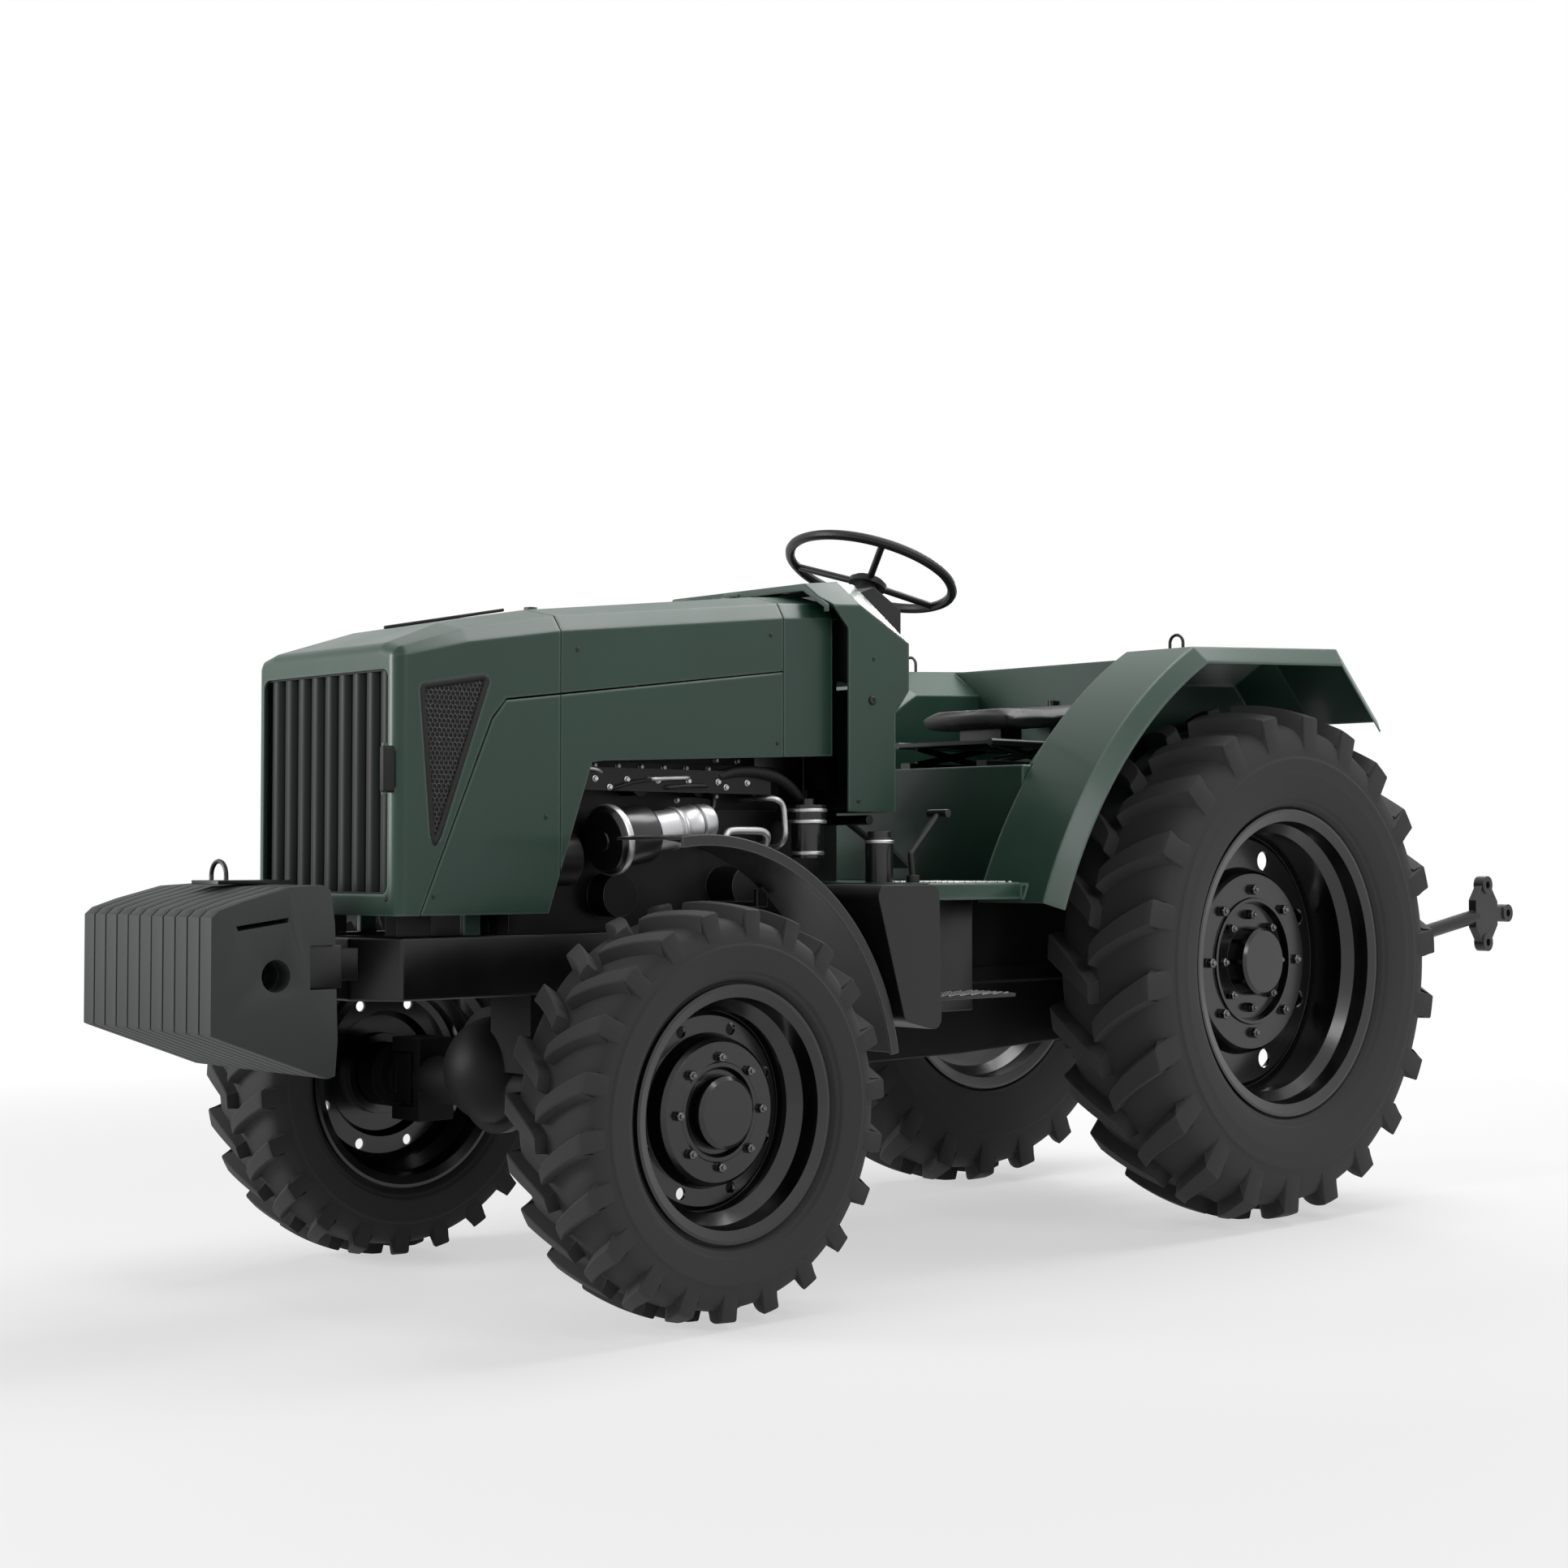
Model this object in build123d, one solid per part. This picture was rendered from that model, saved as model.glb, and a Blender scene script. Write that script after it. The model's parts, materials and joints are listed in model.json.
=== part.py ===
from build123d import *
import math
import os

# Orchard-size four-wheel-drive farm tractor with front ballast, open driver's seat and rear linkage.
# Millimetres. Row frame: +Z up from the ground, front towards -Y, the tractor's left side on +X.
# Every piece is modelled with y counted from the rear axle (front is negative) and is moved to the
# row frame, whose origin is the centre of the footprint, when it is saved.

# ---------------------------------------------------------------- driving dimensions
wheelbase = 1887.0          # front axle to rear axle
nose_reach = 903.0          # front axle to the face of the ballast
hitch_reach = 1461.0        # rear axle to the rear end of the lower links
rear_axle_y = (nose_reach + wheelbase - hitch_reach) / 2     # rear axle in the row frame
front_y = -wheelbase        # front axle, counted from the rear axle
nose_y = front_y - nose_reach                                # foremost point

sheet = 5.0                 # thickness of body sheet metal
seam = 3.0                  # open joint between neighbouring body panels
fit_gap = 0.05              # radial clearance of a shaft in its bearing
seat_gap = 0.3              # free space between parts that move against each other at a pivot
embed = 1.0                 # how far a fused piece reaches into what carries it
past = 20.0                 # how far a cutting tool runs past the piece it cuts

# wheels: one row each for front and rear
# tip_r .. lug_h: tyre tip radius, width, centre plane x, rim flange and bead radius, rim width, lug height
# crown: fall of the tread from its centre to its edge; lugs: lugs a side
# disc_r, set_in, dish_r: disc face radius, its depth inside the rim's outer flange, dish radius
# step_r, recess, lip_h: hole in the disc face, depth of the hub behind it, raised lip round it
# cap_r, cap_h: hub cap; nuts: rows of (count, circle radius, nut radius, depth behind the face)
# holes, hole_r: hand holes in the dish
WHEEL = {
    "front": dict(tip_r=410.0, width=240.0, mid_x=550.0, flange_r=250.0, bead_r=229.0, rim_w=206.0,
                  lug_h=26.0, crown=14.0, lugs=22, disc_r=144.0, set_in=51.0, dish_r=186.0,
                  step_r=88.0, recess=10.0, lip_h=2.0, cap_r=73.0, cap_h=26.0,
                  nuts=((8, 107.0, 10.0, 0.0),), holes=8, hole_r=12.0),
    "rear": dict(tip_r=645.0, width=310.0, mid_x=500.0, flange_r=381.0, bead_r=356.0, rim_w=242.0,
                 lug_h=36.0, crown=30.0, lugs=22, disc_r=228.0, set_in=117.0, dish_r=310.0,
                 step_r=150.0, recess=14.0, lip_h=6.0, cap_r=87.0, cap_h=38.0,
                 nuts=((8, 180.0, 13.0, 0.0), (8, 117.0, 12.0, 14.0)), holes=8, hole_r=24.0),
}
rim_t = 7.0                 # rim and disc plate thickness
rim_lip = 11.0              # width of the rim's flange lip
rim_ledge = 44.0            # bead seat's inner edge, in from the flange
rim_well = 68.0             # foot of the well, in from the flange
well_deep = 26.0            # depth of the well below the bead seat
hub_pad = 24.0              # thickness of the disc at its centre
disc_deep = 40.0            # from the disc's face back to the dish
dish_slope = 8.0
bead_clear = 0.5            # between tyre and rim
side_bulge = 0.45           # place of the tyre's widest point between rim and tread
front_hub_z = WHEEL["front"]["tip_r"]
rear_hub_z = WHEEL["rear"]["tip_r"]
half_shaft_r = 42.0
hub_reach = 90.0            # half shaft from the disc's back into the axle tube
hub_flange = 28.0
hub_flange_r = 120.0
spindle_r = 38.0
spindle_reach = 60.0
front_flange = 20.0
front_flange_r = 92.0
axle_tube_gap = 6.0         # between hub flange and axle tube end

# hood: a ruled shell through stations from nose to windscreen line
# columns: y, side ridge z, top z, half-width of the flat top
hood_half = 256.0
hood_base_z = 792.0
hood_front_y = -2405.0
crease_y = -2010.0
lid_seam_y = -1389.0
hood_rear_y = lid_seam_y + 149.0
lid_top_z = 1488.0
HOOD = [
    (hood_front_y, 1290.0, 1316.0, 205.0),
    (-2240.0, 1328.0, 1372.0, 150.0),
    (crease_y, 1364.0, 1416.0, 135.0),
    (lid_seam_y, 1433.0, lid_top_z, 150.0),
    (hood_rear_y, 1442.0, 1498.0, 155.0),
]
hood_wall = 6.0
nose_round = 26.0                           # rounding of the hood's front edges
crease_w, crease_deep = 3.0, 2.0            # pressed line across the lid
cut_foot_y = -2039.0                        # rear foot of the side panel
cut_top_y, cut_top_z = -1928.0, 1100.0      # front upper corner of the engine opening
cut_bend_y = cut_top_y + 32.0
cut_rear_z = 1134.0                         # engine opening at the rear
split_foot_y = -2352.0                      # where the lid's lower edge meets the bottom edge
split_low = (-2182.0, 1181.0)               # lid's lower edge, below and above its knee
split_high = (-2146.0, 1221.0)
split_rear_z = 1335.0                       # lid's lower edge at the rear of the hood
hinge_r = 6.0
hinge_x = (62.0, 86.0)                      # lid's hinge barrels
band_hinge_x = (87.0, 110.0)                # rear band's barrels beside them
leaf_long = 40.0
cap_at = (-1892.0, 15.0, 10.0)              # filler cap on the lid: y, radius, height
handle_z = (1034.0, 1113.0)                 # pull on the grille surround
handle_x, handle_r, handle_out = 241.0, 5.0, 18.0
grille_half = 226.0
grille_low_z = 834.0
grille_top_z = 1268.0
grille_round = 18.0
grille_ribs = 9
grille_frame = 3.5                          # overlap of the frame behind the opening's edge
rib_back = 24.0                             # back of the ribs behind the hood's front face
# side mesh window, y and z of its three corners
MESH = [(-2353.0, 1240.0), (-2180.0, 1270.0), (-2322.0, 888.0)]
mesh_round = 14.0
mesh_t = 2.5

# cowl: stations of its ruled shell; columns: y, side top z, centre top z, half-width of flat top
cowl_half = 300.0
cowl_base_z = 1008.0
cowl_front_y = hood_rear_y - 56.0
cowl_rear_y = -1036.0
COWL = [(cowl_front_y, 1468.0, 1520.0, 225.0), (-1194.0, 1474.0, 1532.0, 225.0),
        (cowl_rear_y, 1396.0, 1546.0, 120.0)]
cowl_throat_y, cowl_throat_z = -1230.0, 1418.0   # rear foot of the space for the engine, its top
knee_y = -1081.0
knee_z = 1232.0
knee_top_z = 1290.0
pod_half = 112.0             # instrument housing

# rear fender, all as (angle round the rear hub in degrees, distance outside the tyre):
# rim from the foot over the arc's middle and end and the crown to the tail; inner corners; wheel opening
FENDER = [(170.43, 311.4), (144.69, 237.4), (117.19, 212.9), (75.37, 174.7), (57.40, 86.3)]
FENDER_INNER = [(71.75, -166.0), (169.10, 67.9)]
WHEEL_OPENING = [(169.1, 67.0), (170.12, 258.4), (143.42, 152.0), (119.25, 71.3), (73.59, 26.6),
                 (58.50, 6.0), (71.7, -167.0)]


def over_tyre(angle, gap):
    """(y, z) at an angle round the rear hub and a distance outside the rear tyre."""
    reach = WHEEL["rear"]["tip_r"] + gap
    return reach * math.cos(math.radians(angle)), rear_hub_z + reach * math.sin(math.radians(angle))


# platform and seat deck
floor_z = 850.0
floor_rear_y = over_tyre(*FENDER[0])[0] - sheet
floor_half = 560.0
floor_front_y = -1246.0
floor_band = 38.0
bulkhead_y = -779.0
deck_z = 1122.0
deck_wide_half = 420.0
deck_step_y = -668.0
deck_rear_y = -106.0
tread_z, tread_t = 604.0, 8.0               # step: top of its tread, thickness
step_front_y, step_rear_y = floor_front_y + 30.0, floor_rear_y - 12.0

fender_ridge_x = 620.0
fender_edge_x = 648.0
fender_lip = 40.0
fender_in_x = 420.0
fender_wall_x = 320.0
fender_haunch = 75.0
deck_half = fender_wall_x       # the deck fills the space between the fender walls
fender_eye = (455.0, -240.0, 45.0, 24.0, 4.0)    # x, y, height, outer half-width, wire radius

# front fender: arc over the rear of the front tyre
guard_r = 540.0
guard_t = 6.0
guard_x = (372.0, 572.0)
guard_edge = 11.0
guard_arm_y = 315.0

# front frame, ballast and its carrier
rail_x0, rail_x1 = 165.0, 198.0
rail_low_z, rail_top_z = 625.0, 750.0
bolster_y = -2420.0
bolster_deep = 78.0
weight_x0 = -243.0          # right side of the stack
weight_pitch = 44.4
weight_gap = 4.0
weight_count = 11
weight_deep = 267.0         # front face to rearmost point of a weight
hang_in = 208.0             # depth at which the hanger bar's notch starts
hang_low_z, hang_top_z = 658.0, 740.0
# outline of one weight: depth behind the front face, z
WEIGHT = [(0.0, 584.0), (0.0, 795.0), (15.0, 808.0), (67.0, 825.0), (162.0, 849.0), (233.0, 853.0),
          (250.0, 843.0), (260.0, 782.0), (267.0, 561.0), (262.0, 495.0), (245.0, 491.0), (9.0, 580.0)]
WEIGHT_SLOT = [(55.0, 770.0), (158.0, 784.0), (160.0, 793.0), (51.0, 779.0)]
weight_hole = (134.0, 686.0, 30.0)      # depth, z, radius
weight_rod = (180.0, 590.0, 14.0)       # tie bar through the stack
lift_eye = (153.0, 902.0, 32.0, 4.5)    # on the ballast: depth, top z, outer half-width, wire radius
lift_plate = (50.0, 30.0, 8.0)          # its plate: half-width, half-depth, thickness
weight_top_z = WEIGHT[5][1]

# front axle and steering
steer_limit = 35.0
kingpin_x = 436.0
kingpin_r = 28.0
axle_r = 52.0
fork_z0, fork_z1 = 62.0, 92.0           # the fork's arms, above and below the hub line
fork_deep = 46.0
fork_x = (72.0, 18.0)                   # the fork's arms, inboard and outboard of the kingpin
tie_behind = 172.0                      # tie rod behind the kingpins
tie_eye_r, tie_pin_r, tie_bar_r = 22.0, 10.0, 12.0
lever_half = 16.0
lever_z = (front_hub_z - 26.0, front_hub_z - 8.0)
tie_z = (lever_z[0] - 24.0, lever_z[0] - seat_gap)
diff_x, diff_z = -121.0, front_hub_z + 36.0
diff_r, diff_flange_r = 116.0, 137.0
diff_nose_r, diff_nose_y = 56.0, front_y + 130.0
prop_r = 24.0

# gearbox, rear axle and engine
gearbox_top_z = floor_z - floor_band
gearbox_half = 150.0
gearbox_front_low_z, gearbox_rear_low_z, gearbox_mid_y = 425.0, 450.0, -700.0
gearbox_rib_z = (600.0, 640.0)
gearbox_rib_out = 9.0
bell_half, bell_deep = 190.0, 60.0
axle_case_half, axle_case_y = 200.0, 215.0
case_low_z, case_top_z, case_flat_y = 432.0, 890.0, 160.0
case_rear_z = 850.0
case_front_y = -1215.0
axle_arm_r, axle_tube_r, axle_end_r = 105.0, 85.0, 112.0
axle_arm_x = 320.0
engine_half = 150.0
engine_front_y = -2060.0
engine_top_z = 1010.0
sump_half, sump_front_y, sump_low_z = 110.0, -1700.0, 500.0
crank_z, crank_pulley_r = 760.0, 82.0
fan_z, fan_r, fan_mid_y = 1010.0, 190.0, -2175.0
fan_hub_r, fan_shaft_r, fan_boss_y = 46.0, 16.0, -2104.0
fan_blades = 6
# belt pulleys on the engine's front: x, z, radius
PULLEY = [(0.0, fan_z, 62.0), (176.0, 902.0, 36.0)]
pulley_y = (-2094.0, -2072.0)
# round pieces on the engine's left side, along x: y, z, radius, x from, x to (oil filter, pump)
ENGINE_SIDE = [(-1480.0, 842.0, 44.0, 149.0, 236.0), (-1810.0, 826.0, 46.0, 149.0, 204.0)]
alternator = (176.0, 902.0, 56.0, -2064.0, -1930.0)      # x, z, radius, y from, y to
head_half, head_y = 130.0, (-2010.0, -1290.0)
head_z = (1010.0, 1110.0)
valve_cover_half, valve_cover_y, valve_cover_z = 85.0, (-1980.0, -1320.0), 1190.0
port_first_y, port_pitch, port_r, port_count = -1915.0, 170.0, 24.0, 4
intake = (180.0, 225.0, -1960.0, -1400.0, 1044.0, 1092.0)
exhaust = (-226.0, -180.0, -1960.0, -1360.0, 1018.0, 1084.0)
radiator_half, radiator_z = 212.0, (800.0, 1262.0)
radiator_y = (-2345.0, -2265.0)
radiator_frame, radiator_core_z, radiator_in = 30.0, (850.0, 1210.0), 18.0

# engine side canisters and tanks
cleaner_x, cleaner_front, cleaner_rear = 226.0, (-1862.0, 941.0), (-1640.0, 974.0)
cleaner_r, cleaner_cap_r, cleaner_band_r = 60.0, 72.0, 65.0
cleaner_bands = (-1752.0, -1690.0)
filter_at, filter_z, filter_r = (236.0, -1298.0), (904.0, 1022.0), 36.0
pot_at, pot_r, pot_h, pot_cap_h = (372.0, -1208.0), 31.0, 98.0, 15.0
tank_x = (330.0, 590.0)
# outline of a side tank, y and z
TANK = [(-1240.0, 533.0), (floor_front_y - 1.0, floor_z - 3.0), (-1440.0, floor_z - 3.0), (-1352.0, 560.0)]
tank_round = 24.0
pedal_shaft = (-1150.0, 990.0, 11.0)    # y, z, radius
PEDAL_X = (210.0, -200.0, -265.0)
lever_x = 450.0                         # hand lever: foot, bend and bar as y, z
LEVER = [(-1182.0, floor_z), (-1189.0, 914.0), (-1098.0, 1003.0)]

# rear linkage
link_pivot_y, link_pivot_z, link_pivot_x = 120.0, 520.0, 250.0
link_eye_x, link_eye_z = 380.0, 742.0
head_back = 140.0                       # hook end's centre, in from the end of the link
link_r, link_boss_r, link_pin_r = 21.0, 34.0, 14.0
hook_t, hook_r, hook_out, eye_r = 24.0, 26.0, 84.0, 11.2
lift_pivot_z = 985.0
lift_reach = 373.0                      # horizontal distance from rockshaft to lift rod
rockshaft_r, rocker_boss_r = 20.0, 56.0
rod_x, rod_r, rod_sleeve_r = 250.0, 12.0, 18.0
arm_x = (212.0, 230.0)
top_pin_r = 12.8
drawbar_z = 372.0
pto_z = 620.0
hook_y = hitch_reach - head_back
link_splay = link_eye_x - link_pivot_x

# steering wheel and driver's seat
wheel_centre = (0.0, -856.0, 1601.0)
wheel_tilt = 20.9
wheel_up = Vector(0.0, math.sin(math.radians(wheel_tilt)), math.cos(math.radians(wheel_tilt)))
wheel_r, grip_r = 216.0, 12.0
wheel_boss_r, wheel_drop, wheel_shaft_r = 47.0, 26.0, 12.0
spoke_angles = (-39.0, 81.0, 201.0)
column_r = 30.0
seat_half = 168.0
SEAT = [(-500.0, 1236.0), (-519.0, 1246.0), (-521.0, 1262.0), (-508.0, 1275.0), (-352.0, 1278.0),
        (-180.0, 1300.0), (-139.0, 1306.0), (-139.0, 1280.0), (-190.0, 1262.0), (-352.0, 1240.0)]
seat_plate_z = (1186.0, 1196.0)
seat_rail_y = (-600.0, -180.0)

SAVED = []


# ---------------------------------------------------------------- helpers
def save(shape, node):
    """Move a piece from rear-axle stations to the row frame and write it."""
    solids = (Pos(0, rear_axle_y, 0) * shape).solids()
    placed = solids[0] if len(solids) == 1 else Compound(children=list(solids))
    placed.label = node
    export_step(placed, f"parts/{node}.step")
    SAVED.append(node)


def block(x0, x1, y0, y1, z0, z1):
    """Box between two corners."""
    return Pos((x0 + x1) / 2, (y0 + y1) / 2, (z0 + z1) / 2) * Box(x1 - x0, y1 - y0, z1 - z0)


def along_x(face, x0, x1):
    """Extrude a (y, z) face from x0 to x1."""
    plane = Plane(origin=(x0, 0, 0), x_dir=(0, 1, 0), z_dir=(1, 0, 0))
    return extrude(plane * face, amount=x1 - x0, dir=(1, 0, 0))


def along_y(face, y0, y1):
    """Extrude an (x, z) face from y0 to y1."""
    plane = Plane(origin=(0, y0, 0), x_dir=(1, 0, 0), z_dir=(0, -1, 0))
    return extrude(plane * face, amount=y1 - y0, dir=(0, 1, 0))


def along_z(face, z0, z1):
    """Extrude an (x, y) face from z0 to z1."""
    return extrude(Pos(0, 0, z0) * face, amount=z1 - z0, dir=(0, 0, 1))


def poly(*points):
    return Polygon(*points, align=None)


def rod(start, end, radius):
    """Round bar between two points."""
    a, b = Vector(*start), Vector(*end)
    return Plane(origin=a, z_dir=(b - a)) * Cylinder(radius, (b - a).length,
                                                     align=(Align.CENTER, Align.CENTER, Align.MIN))


def disc_x(x0, x1, y, z, radius):
    """Round disc with its axis along X."""
    return rod((x0, y, z), (x1, y, z), radius)


def mirrored(shape):
    return mirror(shape, about=Plane.YZ)


def both(shape):
    """The piece and its twin on the other side."""
    return shape + mirrored(shape)


def slope(y, y0, z0, y1, z1):
    """Height at y of the straight line through two points."""
    return z0 + (z1 - z0) * (y - y0) / (y1 - y0)


def ring_bar(reach, bar_r, sides):
    """Ring about the Z axis, of a bar with a many-sided section."""
    section = Plane.XZ * Pos(reach, 0) * RegularPolygon(bar_r, sides)
    return revolve(section, axis=Axis.Z, revolution_arc=360)


def shackle(x, y, top_z, foot_z, half_width, wire_r):
    """Upright lifting loop across the tractor: half a ring on two legs."""
    ring_z = top_z - half_width
    reach = half_width - wire_r
    bow = Pos(x, y, ring_z) * Rot(90, 0, 0) * ring_bar(reach, wire_r, 8)
    bow -= block(x - half_width - embed, x + half_width + embed, y - past, y + past,
                 ring_z - half_width - embed, ring_z)
    for leg_x in (x - reach, x + reach):
        bow += rod((leg_x, y, foot_z), (leg_x, y, ring_z), wire_r)
    return bow


# ---------------------------------------------------------------- wheels
def spin_x(points):
    """Revolve an (x, r) outline about the X axis."""
    return revolve(Plane.XY * poly(*points), axis=Axis.X, revolution_arc=360)


def rim_and_disc(w):
    """Drop-centre rim, dished disc, hub cap and nuts, about the X axis at x = 0 mid-plane."""
    half, t, seat_r, flange = w["rim_w"] / 2, rim_t, w["bead_r"], w["flange_r"]
    well_r = seat_r - well_deep
    outer = [(half, flange), (half - rim_lip, flange), (half - rim_lip - 2, seat_r),
             (half - rim_ledge, seat_r - 3), (half - rim_well, well_r)]
    inner = [(half, flange - t), (half - t, seat_r - t + 2), (half - rim_ledge - 1, seat_r - 3 - t),
             (half - rim_well - 1, well_r - t)]
    barrel = spin_x(outer + [(-x, r) for x, r in reversed(outer)]
                    + [(-x, r) for x, r in inner] + [(x, r) for x, r in reversed(inner)])
    face_x, hub_x = half - w["set_in"], half - w["set_in"] - w["recess"]
    back_x = face_x - disc_deep
    foot_x = back_x - dish_slope
    disc = spin_x([(hub_x, 0), (hub_x, w["step_r"] - 6), (face_x + w["lip_h"], w["step_r"]),
                   (face_x + w["lip_h"], w["step_r"] + 8), (face_x, w["step_r"] + 10),
                   (face_x, w["disc_r"] - 8), (face_x - 8, w["disc_r"]), (back_x, w["disc_r"] + 8),
                   (back_x, w["dish_r"]), (foot_x, well_r - t + 2), (foot_x - t, well_r - t + 2),
                   (back_x - t, w["dish_r"] - 4), (back_x - t, w["disc_r"]),
                   (face_x - hub_pad, w["disc_r"] - 12), (face_x - hub_pad, 0)])
    hand_r = (w["disc_r"] + 8 + w["dish_r"]) / 2
    hole = disc_x(back_x - 2 * t, back_x + t, hand_r, 0, w["hole_r"])
    for k in range(w["holes"]):
        disc -= Rot(360.0 * (k + 0.5) / w["holes"], 0, 0) * hole
    cap_end = face_x + w["cap_h"]
    cap = spin_x([(hub_x, 0), (hub_x, w["cap_r"]), (cap_end - 6, w["cap_r"] - 2),
                  (cap_end, w["cap_r"] - 10), (cap_end, 0)])
    whole = barrel + disc + cap
    for count, circle_r, nut_r, deep in w["nuts"]:
        nut = along_x(Pos(circle_r, 0) * RegularPolygon(nut_r, 6), face_x - deep, face_x - deep + nut_r)
        for k in range(count):
            whole += Rot(360.0 * k / count, 0, 0) * nut
    return whole


def facet_ring(section, sectors):
    """Ring of flat facets: a closed (x, r) section carried round the X axis in equal steps."""
    step = math.tau / sectors

    def corner(k, x, r):
        return (x, r * math.sin(step * k), r * math.cos(step * k))

    faces = []
    for k in range(sectors):
        for (x0, r0), (x1, r1) in zip(section, section[1:] + section[:1]):
            faces.append(Face(Wire.make_polygon([corner(k, x0, r0), corner(k, x1, r1),
                                                 corner(k + 1, x1, r1), corner(k + 1, x0, r0)])))
    return Solid(Shell(faces))


def tyre(w):
    """Tyre ring in flat facets with its two rows of slanted traction lugs."""
    half, tip, lugs = w["width"] / 2, w["tip_r"], w["lugs"]
    tread_r = tip - w["lug_h"] - w["crown"] / 2
    bead_x = w["rim_w"] / 2 - rim_lip - 2 - bead_clear
    foot_r = (w["bead_r"] + bead_clear) / math.cos(math.pi / lugs)
    over_r = w["flange_r"] + 4.0
    bulge_r = over_r + side_bulge * (tread_r - over_r)
    shoulder_x = half - 12.0
    section = [(bead_x, foot_r), (bead_x, over_r), (half, bulge_r), (shoulder_x, tread_r)]
    ring = facet_ring(section + [(-x, r) for x, r in reversed(section)], lugs)
    pitch = 360.0 / lugs
    pitch_long = math.radians(pitch) * tip
    # one lug at the top of the tyre: it runs from the centre back to the shoulder, x across, y along
    sweep, bar_in, bar_out = 0.90 * pitch_long, 0.26 * pitch_long, 0.36 * pitch_long
    lug_in, lug_out, bend = 1.0, shoulder_x - 1.0, 0.42 * half
    front, rear = -sweep / 2, sweep / 2
    plan = poly((lug_in, front), (lug_out, rear - bar_out), (lug_out, rear), (bend, 0.2 * sweep),
                (lug_in, front + bar_in))
    top_z = math.sqrt(tip ** 2 - front ** 2)
    low_z = tread_r * math.cos(math.pi / lugs) - w["lug_h"]
    rise = poly((lug_in, low_z), (lug_out, low_z), (lug_out, top_z - w["crown"]), (lug_in, top_z))
    lug = along_z(plan, low_z, tip) & along_y(rise, -sweep, sweep)
    lean = math.degrees(math.atan2(-front, top_z))      # sets one lug's tip straight below the hub
    bars = []
    for k in range(lugs):
        bars.append(Rot(pitch * k + lean, 0, 0) * lug)
        bars.append(Rot(pitch * (k + 0.5) + lean, 0, 0) * mirrored(lug))
    return ring.fuse(*bars)


def place_wheel(shape, w, side, hub_y):
    """Set a wheel piece made at the X axis onto its hub; side is +1 left, -1 right."""
    placed = shape if side > 0 else mirrored(shape)
    return Pos(side * w["mid_x"], hub_y, w["tip_r"]) * placed


def disc_back(w):
    """Inner face of the wheel disc, from the wheel's mid-plane."""
    return w["rim_w"] / 2 - w["set_in"] - hub_pad


def build_wheels():
    for axle, hub_y in (("front", front_y), ("rear", 0.0)):
        w = WHEEL[axle]
        back_x = disc_back(w)
        rim, rubber = rim_and_disc(w), tyre(w)
        if axle == "rear":
            rim += disc_x(back_x - hub_reach, back_x, 0, 0, half_shaft_r)
            rim += disc_x(back_x - hub_flange, back_x, 0, 0, hub_flange_r)
        else:
            rim += disc_x(back_x - front_flange, back_x, 0, 0, front_flange_r)
            rim += disc_x(back_x - spindle_reach, back_x, 0, 0, spindle_r)
        for side, name in ((1, "left"), (-1, "right")):
            save(place_wheel(rim, w, side, hub_y), f"rim_{axle}_{name}")
            save(place_wheel(rubber, w, side, hub_y), f"tyre_{axle}_{name}")


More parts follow.
